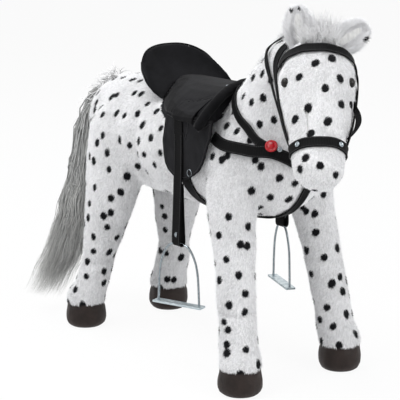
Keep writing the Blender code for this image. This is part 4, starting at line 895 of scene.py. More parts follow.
def pile_tree():
    """Short tufts all over a surface, combed along its nap.

    Each tuft is one slim triangle whose flat side faces away from the surface, so that the pile shades as
    softly as the cloth under it.
    """
    tree, given = new_tree("plush_pile", Density=1000.0, Length=0.005, Width=0.001, Lift=0.5, Seed=1,
                           Material=None)
    density = maths(tree, "MULTIPLY", given["Density"], layer_in(tree, "pile_cover"))
    points = add(tree, "GeometryNodeDistributePointsOnFaces",
                 {"Mesh": given["Geometry"], "Density": density, "Seed": given["Seed"]}).outputs
    stray = add(tree, "FunctionNodeRandomValue", {"Min": (-1, -1, -1), "Max": (1, 1, 1), "Seed": 3},
                data_type="FLOAT_VECTOR").outputs["Value"]
    loose = scaled(tree, stray, 0.55)
    raised = scaled(tree, points["Normal"], given["Lift"])
    combed = summed(tree, layer_in(tree, "lay", "FLOAT_VECTOR"), raised)
    axes = {"Primary Axis": summed(tree, combed, loose),
            "Secondary Axis": summed(tree, points["Normal"], loose)}
    turn = add(tree, "FunctionNodeAxesToRotation", axes, primary_axis="Z",
               secondary_axis="X").outputs["Rotation"]
    blade = add(tree, "GeometryNodeMeshCircle", {"Vertices": 3, "Radius": 1.0}, fill_type="NGON")
    # The triangle's own length is 1.5 and its width is the root of 3.
    size = combined(tree, X=maths(tree, "MULTIPLY", given["Length"], 1 / 1.5),
                    Y=maths(tree, "MULTIPLY", given["Width"], 1 / math.sqrt(3)), Z=1.0)
    shift = combined(tree, X=maths(tree, "MULTIPLY", given["Length"], 1 / 3))
    slim = add(tree, "GeometryNodeTransform", {"Geometry": blade.outputs["Mesh"], "Scale": size,
                                               "Translation": shift}).outputs["Geometry"]
    upright = add(tree, "GeometryNodeTransform",
                  {"Geometry": slim, "Rotation": (0.0, -math.pi / 2, 0.0)}).outputs["Geometry"]
    tall = maths(tree, "MULTIPLY", chance(tree, 0.65, 1.25, 5), layer_in(tree, "pile_stretch"))
    toned = add(tree, "GeometryNodeStoreNamedAttribute",
                {"Geometry": points["Points"], "Name": "tint", "Value": chance(tree, 0.0, 1.0, 7)},
                data_type="FLOAT", domain="POINT").outputs["Geometry"]
    tufts = add(tree, "GeometryNodeInstanceOnPoints",
                {"Points": toned, "Instance": upright, "Rotation": turn,
                 "Scale": combined(tree, X=1.0, Y=1.0, Z=tall)}).outputs["Instances"]
    end_tree(tree, tufts, given["Material"])
    return tree


def strand_tree():
    """Flat tapering strands along guide lines that carry "along" and "wide"."""
    tree, given = new_tree("hair_strands", Radius=0.001, Material=None)
    lines = add(tree, "GeometryNodeMeshToCurve", {"Mesh": given["Geometry"]}).outputs["Curve"]
    profile = add(tree, "GeometryNodeCurvePrimitiveCircle", {"Resolution": 3, "Radius": 1.0})
    strands = add(tree, "GeometryNodeCurveToMesh", {
        "Curve": lines, "Profile Curve": profile.outputs["Curve"], "Fill Caps": True,
        "Scale": maths(tree, "MULTIPLY", given["Radius"], layer_in(tree, "wide"))})
    end_tree(tree, strands.outputs["Mesh"], given["Material"])
    return tree


def stitch_tree():
    """Short rounded stitches laid end to end along a line."""
    tree, given = new_tree("stitches", Spacing=0.004, Thread=0.001, Material=None)
    lines = add(tree, "GeometryNodeMeshToCurve", {"Mesh": given["Geometry"]}).outputs["Curve"]
    even = add(tree, "GeometryNodeResampleCurve", {"Curve": lines, "Length": given["Spacing"]},
               mode="LENGTH").outputs["Curve"]
    ahead = add(tree, "GeometryNodeInputTangent").outputs["Tangent"]
    turn = add(tree, "FunctionNodeAlignRotationToVector", {"Vector": ahead}, axis="Z").outputs["Rotation"]
    stitch = add(tree, "GeometryNodeMeshCylinder", {
        "Vertices": 6, "Side Segments": 1, "Radius": maths(tree, "MULTIPLY", given["Thread"], 0.5),
        "Depth": maths(tree, "MULTIPLY", given["Spacing"], 0.68)}).outputs["Mesh"]
    laid = add(tree, "GeometryNodeInstanceOnPoints", {"Points": even, "Instance": stitch,
                                                      "Rotation": turn}).outputs["Instances"]
    end_tree(tree, laid, given["Material"])
    return tree


TREES = {"plush_pile": pile_tree, "hair_strands": strand_tree, "stitches": stitch_tree}


def stitched(name, lines, body=HORSE):
    """Sewn stitches along lines of points, as one piece."""
    sizes = bpy.context.scene.horse_sizes
    piece = grown_from(name, mesh_along(lines), "stitches", Spacing=sizes.stitch_length,
                       Thread=sizes.thread_diameter, Material=look_of("thread"))
    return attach(piece, body)


def strands(name, lines, look, radius, random, node=None):
    """Locks of hair along guide lines, as one piece. Each lock has its own tone."""
    along, tint, wide = [], [], []
    for line in lines:
        share = np.linspace(0, 1, len(line))
        along += list(share)
        tint += [random.random()] * len(line)
        wide += list(np.maximum(1 - share**1.4, 0.06) * random.uniform(0.7, 1.2))
    mesh = mesh_along(lines)
    set_values(mesh, along=along, tint=tint, wide=wide)
    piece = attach(grown_from(name, mesh, "hair_strands", Radius=radius, Material=look_of(look)), HORSE)
    if node:
        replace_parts(piece, node)


# Plush

NO_SPOT = 9.0
SPOT_TRIES = 9000
SKIN_SWELL = 0.0012
PILE_WIDTH = 0.0012
# The hoof's radius at its upper edge, as a share of its widest radius.
HOOF_TOP_SHARE = 0.915
CUFF_RISE = 0.003
CUFF_REACH, CUFF_SPAN = 0.05, 0.045
SKIN_ROUNDS = 14
LUMP_SIZE, LUMP_HEIGHT = 0.042, 0.0024
# Plush this near to the seat and to the cantle is the bare black strip between them.
STRIP_GAP = 0.010
# The pile starts this far from a strap or a hoof, and is full a little further out.
BARE_GAP, BARE_EDGE = 0.0028, 0.002
HEM_HEIGHT = 0.006
HEAD_GAP, HEAD_PILE = 0.004, 0.8
# The pile is three pieces: the legs below a height, and the barrel behind a place along the horse.
LEG_TOP, BARREL_FRONT = 0.30, 0.06

# Folds in the plush: places in pixels of the photograph, each with how deep and how wide the fold is.
FOLDS = (
    (((219, 313), (229, 317), (241, 317), (254, 313)), 0.0045, 0.0055),
    (((222, 324), (232, 327), (242, 326)), 0.0020, 0.005),
    (((79, 259), (90, 263), (102, 263), (114, 258)), 0.0045, 0.0055),
    (((318, 302), (330, 306), (343, 304), (352, 300)), 0.0035, 0.0055),
    (((153, 252), (163, 256), (174, 256), (183, 250)), 0.0035, 0.006),
    (((214, 196), (224, 189), (236, 186), (250, 188)), 0.0035, 0.013),
    (((136, 112), (132, 124), (131, 138), (133, 154), (139, 168), (147, 181)), 0.0095, 0.015),
    (((91, 283), (92, 292), (93, 300)), 0.0018, 0.004),
)


def laid_flat(way, normals):
    """A direction at each corner, without the part of it that leaves the skin."""
    return way - normals * (way * normals).sum(1, keepdims=True)


def nap_direction(normals):
    """The way that the pile lies: back and down over the body, and down the face."""
    way = laid_flat(np.array([[-0.45, 0.0, -0.89]]), normals)
    return way / np.maximum(np.linalg.norm(way, axis=1, keepdims=True), 0.2)


def spot_places(mesh):
    """Where the spots are: those in view by their pixels, and the rest spread evenly by chance."""
    spacing = bpy.context.scene.horse_sizes.spot_spacing
    tree, eye = mesh_tree(mesh), camera_axes()[0]
    found = [seen_at(tree, *pixel) for group in SPOTS_IN_VIEW.values() for pixel in group]
    found = [spot for spot in found if spot[0] is not None]
    places = [tuple(place) for place, _ in found]
    random = np.random.default_rng(SEED)
    mesh.calc_loop_triangles()
    corners = arrays_of(mesh)[0][values_of(mesh.loop_triangles, "vertices", np.int64)]
    picks, cross = picked(corners, SPOT_TRIES, random)
    for pick in picks:
        place = corners[pick].mean(0)
        if np.min(np.linalg.norm(np.array(places) - place, axis=1)) < spacing:
            continue
        spot, normal = Vector(place), Vector(cross[pick]).normalized()
        to_eye = (eye - spot).normalized()
        if normal.dot(to_eye) > 0.16 and tree.ray_cast(spot + normal * 0.004, to_eye)[0] is None:
            continue
        found.append((spot, normal))
        places.append(tuple(place))
    return found, random


def spot_gaps(mesh, points):
    """Each corner's distance from the nearest spot's middle, in that spot's own radii."""
    sizes = bpy.context.scene.horse_sizes
    found, random = spot_places(mesh)
    finder = KDTree(len(found))
    frames = []
    for i, (place, normal) in enumerate(found):
        finder.insert(place, i)
        down = Vector(nap_direction(np.array([normal]))[0])
        if down.length < 0.3:
            down = normal.orthogonal()
        down.normalize()
        down = (down + normal.cross(down) * random.uniform(-0.3, 0.3)).normalized()
        growth = random.uniform(0.88, 1.12)
        frames.append((normal.cross(down) / (sizes.spot_across * growth),
                       down / (sizes.spot_along * growth * random.uniform(0.9, 1.1)),
                       normal / (sizes.spot_across * 0.9)))
    finder.balance()
    gaps = np.full(len(points), NO_SPOT)
    for i, point in enumerate(points):
        for place, index, _ in finder.find_n(Vector(point), 3):
            away = Vector(point) - place
            gaps[i] = min(gaps[i], math.hypot(*(away.dot(axis) for axis in frames[index])))
    return gaps


def lumps(points, normals, size, height, seed=0.0):
    """Points moved in and out by soft lumps of a size."""
    shift = Vector((seed, seed * 0.7, -seed))
    lift = np.array([noise.noise(Vector(p) / size + shift) for p in points])
    return points + normals * (lift * height)[:, None]


def pressed(points, normals, tree):
    """Points pushed in along the photographed folds."""
    points = points.copy()
    for pixels, deep, wide in FOLDS:
        line = [seen_at(tree, *pixel)[0] for pixel in pixels]
        line = [place for place in line if place is not None]
        if len(line) < 2:
            continue
        rows = smooth_line(line, wide / 4)
        near = np.flatnonzero((np.abs(points - rows.mean(0)) < np.ptp(rows, axis=0) / 2 + 3 * wide).all(1))
        gaps = np.linalg.norm(points[near, None] - rows[None], axis=2).min(1)
        points[near] -= normals[near] * (deep * np.exp(-(gaps / wide) ** 2))[:, None]
    return points


def hoof_room(name):
    """A hoof's lowest and highest corners, its middle and its radius."""
    low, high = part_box(name)
    return low, high, (low + high) / 2, (high.x - low.x + high.y - low.y) / 4


def cuffed(points):
    """The plush legs opened out over the tops of the hooves, and drawn in below them."""
    points = points.copy()
    for name in HOOF_NODES:
        low, high, middle, radius = hoof_room(name)
        middle, height = np.array(middle)[:2], points[:, 2] - high.z
        away = points[:, :2] - middle
        reach = np.hypot(*away.T)
        mine = (reach < radius * 1.5) & (height < CUFF_REACH)
        share = np.clip((CUFF_REACH - height) / CUFF_SPAN, 0, 1)
        share = share * share * (3 - 2 * share)
        wide = np.maximum(reach, radius * HOOF_TOP_SHARE + 0.0006)
        new = np.where(height < CUFF_RISE, np.minimum(reach, radius * 0.8), reach + (wide - reach) * share)
        points[mine, :2] = middle + away[mine] * (new / np.maximum(reach, 1e-6))[mine, None]
        points[mine, 2] = np.maximum(points[mine, 2], low.z + 0.014)
    return points


def piled(name, mesh, look, **inputs):
    """The pile that grows from a mesh, as one piece."""
    pile = grown_from(name, mesh, "plush_pile", Width=PILE_WIDTH, Material=look_of(look), **inputs)
    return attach(pile, HORSE)


class HORSE_OT_plush(bpy.types.Operator):
    """Stuffed plush cover with its printed spots and its pile"""

    bl_idname = "horse.plush"
    bl_label = "Plush cover"

    def execute(self, context):
        sizes = context.scene.horse_sizes
        mesh = remeshed(solid_of(PLUSH_NODES + TUBE_NODES, SKIN_SWELL), sizes.skin_voxel)
        points, edges, _ = arrays_of(mesh)
        points = eased(points, edges, SKIN_ROUNDS)
        normals = place_points(mesh, points)
        points = lumps(points - normals * (SKIN_SWELL + sizes.pile_lies), normals, LUMP_SIZE,
                       LUMP_HEIGHT)
        place_points(mesh, cuffed(pressed(points, normals, mesh_tree(mesh))))
        points, _, normals = arrays_of(mesh)
        spots = spot_gaps(mesh, points)

        seat, cantle, head = (gaps_to(points, tree_of([name]))
                              for name in ("saddle_seat", "saddle_cantle", "head_plush"))
        under = np.maximum(seat, cantle) < STRIP_GAP
        covers = tree_of(STRAP_NODES + SADDLE_NODES + HOOF_NODES + ("eye_right", "eye_left"))
        cover = np.clip((gaps_to(points, covers) - BARE_GAP) / BARE_EDGE, 0, 1)
        cover[under] = 0.0
        height = points[:, 2] - max(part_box(name)[1].z for name in HOOF_NODES)
        inside = height < CUFF_RISE - 0.002
        fringe = np.where(inside, 0.0, np.clip(2 - height / HEM_HEIGHT, 0, 1))
        cover = np.where(inside, 0.0, np.maximum(cover, (fringe > 0.05) * 1.3))
        stretch = 1 + fringe * (sizes.fringe_length / sizes.pile_length - 1)
        stretch[(head < HEAD_GAP) & (points[:, 2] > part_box("head_plush")[0].z)] *= HEAD_PILE
        lay = nap_direction(normals) * (1 - fringe[:, None]) + np.outer(fringe, (0.0, 0.0, -1.25))
        spots[under] = 0.0
        set_values(mesh, spot_gap=spots, pile_cover=cover, pile_stretch=stretch, lay=lay)
        cloth = piece_of("plush_cover", mesh, look_of("plush"))
        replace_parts(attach(cloth, HORSE), *PLUSH_NODES)

        low, rear = points[:, 2] < LEG_TOP, points[:, 0] < BARREL_FRONT
        for name, here in (("legs", low), ("barrel", ~low & rear), ("fore", ~low & ~rear)):
            patch = mesh.copy()
            set_values(patch, pile_cover=cover * here)
            piled("plush_pile_" + name, patch, "plush", Density=sizes.pile_per_cm2 * 1e4,
                  Length=sizes.pile_length, Lift=0.48, Seed=SEED)
        return {"FINISHED"}


def turned(name, place, axis, profile, look, node, body=HORSE):
    """A round piece turned on an axis, from (radius, height) rows. It is closed at both ends."""
    side = axis.orthogonal().normalized()
    spokes = rays(side, axis.cross(side), TURNED_SIDES)
    points = [place + axis * height + ray * max(radius, 1e-5) for radius, height in profile for ray in spokes]
    mesh = facing_out(mesh_from(points, tube_faces(len(profile), TURNED_SIDES)), merge=3e-5)
    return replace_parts(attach(piece_of(name, mesh, look_of(look)), body), node)


class HORSE_OT_face(bpy.types.Operator):
    """Glossy eyes, and the sewn seam of the face"""

    bl_idname = "horse.face"
    bl_label = "Face"

    def execute(self, context):
        skin = mesh_tree(bpy.data.objects["plush_cover"].data)
        aside = UP.cross(FACE)
        for word, side in zip(SIDES, (-1, 1)):
            name = "eye_" + word
            middle, _, halves = axes_of(name)
            radius = max(halves[:2])
            place, normal, _, _ = skin.find_nearest(middle + FACE * radius * 0.35)
            profile = [(0.55 * radius, -0.008), (0.93 * radius, -0.004)]
            profile += [(radius * 0.95 * math.cos(a), radius * 0.72 * math.sin(a))
                        for a in np.linspace(0, math.pi / 2, 10)]
            outward = (normal + aside * side * 1.05).normalized()
            turned("eye_dome_" + word, place, outward, profile, "eye", name)
        line = [seen_at(skin, *pixel) for pixel in FACE_SEAM]
        rows = smooth_line([place + normal * 0.0014 for place, normal in line if place], 0.004)
        # The seam's pale grey cord is partly thread and partly painted shade of its groove.
        piped("face_seam", rows, 0.0005, "seam", closed=False)
        return {"FINISHED"}


# Half the ear's width from its root to its blunt tip, as (share of length, share of half width).
EAR_OUTLINE = ((0.0, 0.50), (0.12, 0.70), (0.26, 0.90), (0.42, 0.97), (0.58, 0.90), (0.72, 0.75),
               (0.85, 0.64), (0.94, 0.52), (1.0, 0.34))
EAR_ROWS, EAR_COLUMNS = 26, 16
# The strip of lining: its columns, and how far up the ear it runs.
LINED_COLUMNS, LINED_ROWS = range(6, 10), (0.12, 0.78)
EAR_MARKS = {"right": ((291.5, 12), (299.5, 9.5)), "left": ((363.5, 41), (365, 38.5))}
EAR_MARK_RADIUS = 0.0036


def ear_leaf(root, along, side, front, length, half_width, half_thick):
    """A thick cupped leaf of plush, closed all round, and each face's material: the plush or the lining."""
    out, lined = [], []
    for i in range(EAR_ROWS + 1):
        share = i / EAR_ROWS
        wide = half_width * np.interp(share, *zip(*EAR_OUTLINE))
        cup = 1.70 - 0.35 * share
        for j in range(EAR_COLUMNS + 1):
            across = j / EAR_COLUMNS * 2 - 1
            curl = across * cup
            deep = (1 - math.cos(curl)) * 1.1 + 0.5 * max(share - 0.75, 0)
            skin = 0.0040 * (1 + abs(across) ** 3 * 0.25) * (1 - share**6 * 0.6)
            centre = root + along * (length * share) + side * (wide * math.sin(curl) / math.sin(cup))
            centre += front * (half_thick * 1.1 * deep - half_thick * 0.25)
            bulge = (side * math.sin(curl) - front * math.cos(curl)).normalized()
            out.append(centre + bulge * skin)
            lined.append(centre - bulge * skin)
    width, start = EAR_COLUMNS + 1, len(out)
    faces, kinds = [], []
    for i in range(EAR_ROWS):
        for j in range(EAR_COLUMNS):
            a = i * width + j
            b = start + a
            faces += [(a, a + 1, a + width + 1, a + width), (b, b + width, b + width + 1, b + 1)]
            kinds += [0, int(j in LINED_COLUMNS and LINED_ROWS[0] < i / EAR_ROWS < LINED_ROWS[1])]
    rims = [(row + j, row + j + 1) for row in (0, EAR_ROWS * width) for j in range(EAR_COLUMNS)]
    rims += [(i * width + j, i * width + j + width) for i in range(EAR_ROWS) for j in (0, EAR_COLUMNS)]
    faces += [(a, b, start + b, start + a) for a, b in rims]
    return mesh_from(out + lined, faces), kinds + [0] * len(rims)


class HORSE_OT_ears(bpy.types.Operator):
    """Cupped plush ears with a strip of grey lining and long pile on their rims"""

    bl_idname = "horse.ears"
    bl_label = "Ears"

    def execute(self, context):
        for word, tip in zip(SIDES, (UP, Vector((0, 1, 0)))):
            name = "ear_" + word
            middle, axes, halves = axes_of(name)
            along, front = towards(axes[0], tip), towards(axes[2], FACE)
            side, half_width = along.cross(front), halves[1] * 0.88
            root = middle - along * halves[0]
            mesh, kinds = ear_leaf(root, along, side, front, 1.74 * halves[0], half_width, halves[2])
            ear = piece_of("ear_cupped_" + word, mesh, look_of("ear_plush"), look_of("lining"))
            mesh.polygons.foreach_set("material_index", kinds)
            soften = ear.modifiers.new("soft", "SUBSURF")
            soften.levels = soften.render_levels = 1
            mesh = facing_out(settled(ear).data)
            points, _, normals = arrays_of(mesh)
            lining = {v for face in mesh.polygons if face.material_index for v in face.vertices}
            marks = [seen_at(mesh_tree(mesh), *pixel)[0] for pixel in EAR_MARKS[word]]
            gaps = [np.linalg.norm(points - np.array(mark), axis=1) / EAR_MARK_RADIUS
                    for mark in marks if mark]
            across = (points - np.array(root)) @ np.array(side) / half_width
            rim = np.clip(np.abs(across) * 1.6 - 0.5, 0, 1)
            way = np.array(along) + np.outer(np.sign(across) * rim * 0.5, side)
            set_values(mesh, spot_gap=np.min(gaps, axis=0) if gaps else np.full(len(points), NO_SPOT),
                       pile_cover=[float(i not in lining) for i in range(len(points))],
                       pile_stretch=0.75 + 0.85 * rim, lay=laid_flat(way, normals))
            piled("ear_pile_" + word, mesh.copy(), "ear_plush", Length=0.0070, Lift=0.5, Seed=SEED + 2,
                  Density=context.scene.horse_sizes.pile_per_cm2 * 2.2e4)
            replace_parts(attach(ear, HORSE), name)
        return {"FINISHED"}


# A hoof's section from the middle of its sole to inside its upper lip, as shares of its radius and height.
HOOF_PROFILE = ((0.0, 0.0), (0.5, 0.0), (0.66, 0.002), (0.765, 0.024), (0.85, 0.075), (0.915, 0.145),
                (0.965, 0.24), (0.992, 0.35), (0.995, 0.47), (0.982, 0.59), (0.960, 0.71), (0.938, 0.82),
                (0.922, 0.91), (0.910, 0.98), (0.898, 1.05), (0.885, 1.10), (0.86, 1.07), (0.84, 0.98))
HOOF_SIDES = 72


class HORSE_OT_hooves(bpy.types.Operator):
    """Rounded vinyl hoof covers with a back seam, and the plugs and the frame inside the legs"""

    bl_idname = "horse.hooves"
    bl_label = "Hooves"

    def execute(self, context):
        spokes = rays(Vector((1, 0, 0)), Vector((0, 1, 0)), HOOF_SIDES)
        for name in HOOF_NODES:
            low, high, middle, radius = hoof_room(name)
            tall = high.z - low.z
            points = []
            for out, up in HOOF_PROFILE:
                for i, ray in enumerate(spokes):
                    wave = noise.noise(Vector((ray.x * 1.6, ray.y * 1.6, up * 1.2)) + middle * 9)
                    fold = noise.noise(Vector((ray.x * 4.0, ray.y * 4.0, up * 4.0 + middle.x * 40)))
                    swell = (wave * 0.0022 + fold * 0.0009) * (0.08 < up < 0.9)
                    from_back = math.tau * i / HOOF_SIDES - math.pi
                    seam = 0.0012 * math.exp(-(from_back / 0.05) ** 2) * (0.05 < up < 0.98)
                    reach = min(radius * out + swell, radius * 1.012) - seam
                    points.append(Vector((middle.x, middle.y, low.z + up * tall)) + ray * reach)
            mesh = facing_out(mesh_from(points, tube_faces(len(HOOF_PROFILE), HOOF_SIDES)), merge=1e-5)
            hoof = piece_of(name.replace("cover", "vinyl"), mesh, look_of("hoof"))
            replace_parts(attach(hoof, HORSE), name)
            seam_line = [(middle.x - radius * out - 0.0002, middle.y + 0.0022, low.z + up * tall)
                         for out, up in HOOF_PROFILE[5:13]]
            stitched(name.replace("cover", "seam"), [seam_line])
            dress(name.replace("hoof_cover", "foot_plug"), "plug")
        for name in TUBE_NODES:
            dress(name, "tube")
        return {"FINISHED"}


def dress(name, look):
    """Gives a CAD node that keeps its own shape a finished material."""
    materials = NODES[name].data.materials
    materials.clear()
    materials.append(look_of(look))


# Hair

DOCK_STRANDS = 700
LOCK_POINTS = 11
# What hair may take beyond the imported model: a share of its size, and a length.
ROOM_SHARE, ROOM = 0.025, 0.007


class HORSE_OT_hair(bpy.types.Operator):
    """Mane, forelock and tail as locks of long hair"""

    bl_idname = "horse.hair"
    bl_label = "Hair"

    def execute(self, context):
        sizes = context.scene.horse_sizes
        random = np.random.default_rng(SEED + 4)
        self.tail(sizes.tail_strands, random)
        self.mane(sizes.mane_strands, random)
        self.forelock(sizes.forelock_strands, random)
        return {"FINISHED"}

    def tail(self, count, random):
        """Long grey hair, full at the dock, that hangs and fans out at its end."""
        rows = spine_of("tail", 26)
        if rows[0, 2] < rows[-1, 2]:
            rows = rows[::-1]
        aside = -np.array(camera_axes()[1])
        locks = []
        for i in range(count):
            turn = random.uniform(0, math.tau)
            reach = math.sqrt(random.random())
            start = random.uniform(0.0, 0.30 if i % 3 else 0.72)
            end = random.uniform(0.80, 1.0) if i % 4 else random.uniform(0.5, 0.95)
            end = min(max(end, start + 0.22), 1.0)
            phase, wave = random.uniform(0, math.tau), random.uniform(0.001, 0.0060)
            fan = random.uniform(-0.22, 1.0) * 0.050
            lock = []
            for k in range(LOCK_POINTS):
                share = start + (end - start) * k / (LOCK_POINTS - 1)
                row, step = row_at(rows, share * (len(rows) - 1))
                forward = unit(step[:3])
                side = unit(np.cross(forward, (0.0, 1.0, 0.0)))
                other = np.cross(forward, side)
                out = side * math.cos(turn) + other * math.sin(turn)
                out = out * row[6] * reach * (0.92 + 0.25 * share)
                curl = side * math.sin(phase + share * 9) + other * math.cos(phase * 2 + share * 7)
                flare = aside * fan * max((share - 0.32) / 0.68, 0.0) ** 1.5
                lock.append(row[:3] + out * (min(k / 2.0, 1.0) * 0.6 + 0.4) + curl * wave + flare)
            locks.append(self.boxed(lock))
        strands("tail_hair", locks, "hair", 0.0013, random, "tail")

        top, below = rows[0, :3], rows[4, :3]
        locks = []
        for _ in range(DOCK_STRANDS):
            root = top + (below - top) * random.uniform(-0.35, 1.0) + random.normal(0, 0.007, 3)
            way = unit(np.array([-0.62, 0.0, 0.45]) + random.normal(0, 0.5, 3)) * random.uniform(0.016, 0.046)
            locks.append(self.boxed([root + way * t + np.array([-0.003, 0, -0.020]) * t**2
                                     for t in np.linspace(0, 1, 7)]))
        strands("tail_dock_hair", locks, "forelock", 0.0012, random)

    @staticmethod
    def boxed(lock):
        """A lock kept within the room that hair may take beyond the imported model."""
        low, high = np.array(CAD_BOX[0]), np.array(CAD_BOX[1])
        room = (high - low) * ROOM_SHARE + ROOM
        return np.clip(lock, low - room, high + room)

    def mane(self, count, random):
        """A strip of short fuzzy hair that stands along the crest of the neck."""
        line = spine_of("mane", 14)[:, :3]
        if line[0, 2] > line[-1, 2]:
            line = line[::-1]
        neck = tree_of(["neck_plush"])
        locks = []
        for _ in range(count):
            centre, _ = row_at(line, random.uniform(0, len(line) - 1.001))
            near = neck.find_nearest(Vector(centre + np.array([0, random.normal(0, 0.0035), 0])))
            foot, rise = np.array(near[0]), np.array(near[1])
            way = unit(rise + np.array([-0.35, random.normal(0, 0.30), -0.25]) + random.normal(0, 0.18, 3))
            way = way * random.uniform(0.009, 0.020)
            locks.append([foot - rise * 0.002 + way * t for t in np.linspace(0, 1, 5)])
        strands("mane_hair", locks, "pale_hair", 0.0010, random, "mane")

    def forelock(self, count, random):
        """A fluffy tuft that stands up between the ears and falls a little to the front."""
        low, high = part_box("forelock")
        middle = axes_of("forelock")[0]
        ahead, side = np.array(FACE), np.cross(FACE, UP)
        head = tree_of(["head_plush", "neck_plush"])
        locks = []
        for _ in range(count):
            out, deep = random.uniform(-1, 1), random.uniform(-1, 3.2)
            start = np.array([middle.x, middle.y, low.z]) + side * out * 0.026 + ahead * deep * 0.014
            foot = np.array(head.find_nearest(Vector(start))[0])
            reach = (high.z - foot[2]) * random.uniform(0.55, 1.06) * (1 - 0.12 * abs(out))
            reach *= 1 - 0.62 * max(deep - 0.6, 0) / 2.6
            lean = side * out * 0.24 + ahead * (deep * 0.14 + 0.06) + random.normal(0, 0.13, 3)
            bend = side * random.normal(0, 0.008) + ahead * random.normal(0.004, 0.006)
            locks.append([foot - np.array([0, 0, 0.003]) + np.array([0, 0, reach]) * t
                          + lean * reach * t**1.3 + bend * t**2.5 for t in np.linspace(0, 1, 9)])
        strands("forelock_hair", locks, "forelock", 0.0012, random, "forelock")


# Saddle

LEAF_VOXEL = 0.0013
PAD_INSET = 0.0008
STUFFING_STEPS = 16
OUTLINE_POINTS = 96
# The cantle's piping runs above a height, and it lies a little inside the cantle's outline.
PIPING_FOOT, PIPING_SHARE = 0.556, 0.978
BINDING_SHARE, FLAP_SEAM_SHARE = 0.985, 0.93
PIPE_STEP, PIPE_SIDES = 0.0035, 8
# The photographed outline of the cantle's lower end, as pairs of pixels.
CANTLE_CUTS = (((145.5, 81.5), (141.0, 70)), ((153, 92.5), (145.5, 81.5)), ((168, 106), (153, 92.5)))
# Where the seat's paler panel begins, as (down, across) pixels. Behind it the cloth is painted darker, as
# shade beside the cantle.
SEAT_PANEL_REAR = ((70, 194), (78, 190), (83, 185), (92, 177), (99, 173), (107.5, 177), (114, 186),
                   (118, 203))
# Where a skirt is trimmed, seen from the side: lines of (x, z) pairs, with the cloth kept above and in front.
SKIRT_CUTS = (((-0.0075, 0.5035), (0.0885, 0.4985)), ((0.0125, 0.560), (0.0185, 0.500)),
              ((0.0120, 0.5180), (0.0330, 0.4980)))
# The padded pieces: name, look, how far the stuffing may push, fill, rounds of easing and cuts.
PADS = (("seat", "saddle_seat", "cloth", 0.0016, 0.7, 3, ()),
        ("cantle", "saddle_cantle", "dark_cloth", 0.0020, 0.8, 12, CANTLE_CUTS),
        ("roll", "saddle_front_roll", "roll_cloth", 0.0010, 0.9, 8, ()))


def sliced(shape, place, normal):
    """Takes off what lies beyond a plane, and closes the cut."""
    geometry = shape.verts[:] + shape.edges[:] + shape.faces[:]
    made = bmesh.ops.bisect_plane(shape, geom=geometry, plane_co=place, plane_no=normal, clear_outer=True)
    rim = [item for item in made["geom_cut"] if isinstance(item, bmesh.types.BMEdge)]
    if rim:
        bmesh.ops.contextual_create(shape, geom=rim)


def trimmed(shape, cuts):
    """A solid cut along planes that the photograph gives, on both sides of the horse.

    Each cut is a pair of pixels: what lies to the left of the line from the first to the second goes.
    """
    for first, second in cuts:
        across = sight(*second).cross(sight(*first)).normalized()
        for side in (1, -1):
            flip = Vector((1, side, 1))
            sliced(shape, camera_axes()[0] * flip, across * flip)
    return shape


def stuffed(name, node, look, limit, rounds, cuts):
    """A padded piece: a CAD solid's skin, inflated as cloth and held near its place."""
    scene = bpy.context.scene
    mesh = remeshed(trimmed(solid_of([node]), cuts), scene.horse_sizes.saddle_voxel)
    points, edges, _ = arrays_of(mesh)
    points = eased(points, edges, rounds)
    points = points - place_points(mesh, points) * PAD_INSET
    place_points(mesh, points)
    piece = piece_of(name, mesh, look_of(look))
    cloth = piece.modifiers.new("stuffing", "CLOTH")
    settings = cloth.settings
    settings.quality = 4
    settings.mass = 0.2
    settings.use_pressure = True
    settings.uniform_pressure_force = 3.0
    settings.effector_weights.gravity = 0.0
    settings.tension_stiffness = settings.compression_stiffness = 20.0
    cloth.collision_settings.use_collision = False
    for step in range(1, STUFFING_STEPS + 1):
        scene.frame_set(step)
    settled(piece)
    scene.frame_set(1)
    away = arrays_of(piece.data)[0] - points
    size = np.linalg.norm(away, axis=1, keepdims=True)
    place_points(piece.data, points + away * np.minimum(1.0, limit / np.maximum(size, 1e-9)))
    piece.data.shade_smooth()
    return piece


def outline_of(node, normal, middle, cuts=()):
    """The outer edge of a flat CAD node, seen along a normal, as a closed ring of places."""
    shape = trimmed(solid_of([node]), cuts)
    bmesh.ops.subdivide_edges(shape, edges=shape.edges, cuts=3)
    points = np.array([vert.co for vert in shape.verts])
    shape.free()
    side = unit(np.cross(normal, UP))
    away = points - np.array(middle)
    across, above = away @ side, away @ np.cross(side, normal)
    angles, reach = np.arctan2(above, across), np.hypot(above, across)
    ring = []
    for turn in np.linspace(-math.pi, math.pi, OUTLINE_POINTS, endpoint=False):
        gap = np.abs((angles - turn + math.pi) % math.tau - math.pi)
        near = np.flatnonzero(gap < math.pi / OUTLINE_POINTS * 1.6)
        if len(near):
            far = near[np.argsort(reach[near])[-3:]]
            ring.append(points[far].mean(0))
    return np.array(ring)


def piped(name, ring, radius, look, body=HORSE, closed=True, node=None):
    """A cord of bias tape or a wire along a line, as one round tube."""
    line = smooth_line([*ring, ring[0]] if closed else ring, PIPE_STEP)
    line = line[:-1] if closed else line
    points, side = [], None
    for place, ahead in zip(line, ways_along(line, closed)):
        ahead = Vector(ahead)
        side = ahead.orthogonal() if side is None else side - ahead * side.dot(ahead)
        side.normalize()
        points += [Vector(place) + ray * radius for ray in rays(side, ahead.cross(side), PIPE_SIDES)]
    mesh = facing_out(mesh_from(points, tube_faces(len(line), PIPE_SIDES, closed)))
    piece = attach(piece_of(name, mesh, look_of(look)), body)
    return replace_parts(piece, node) if node else piece


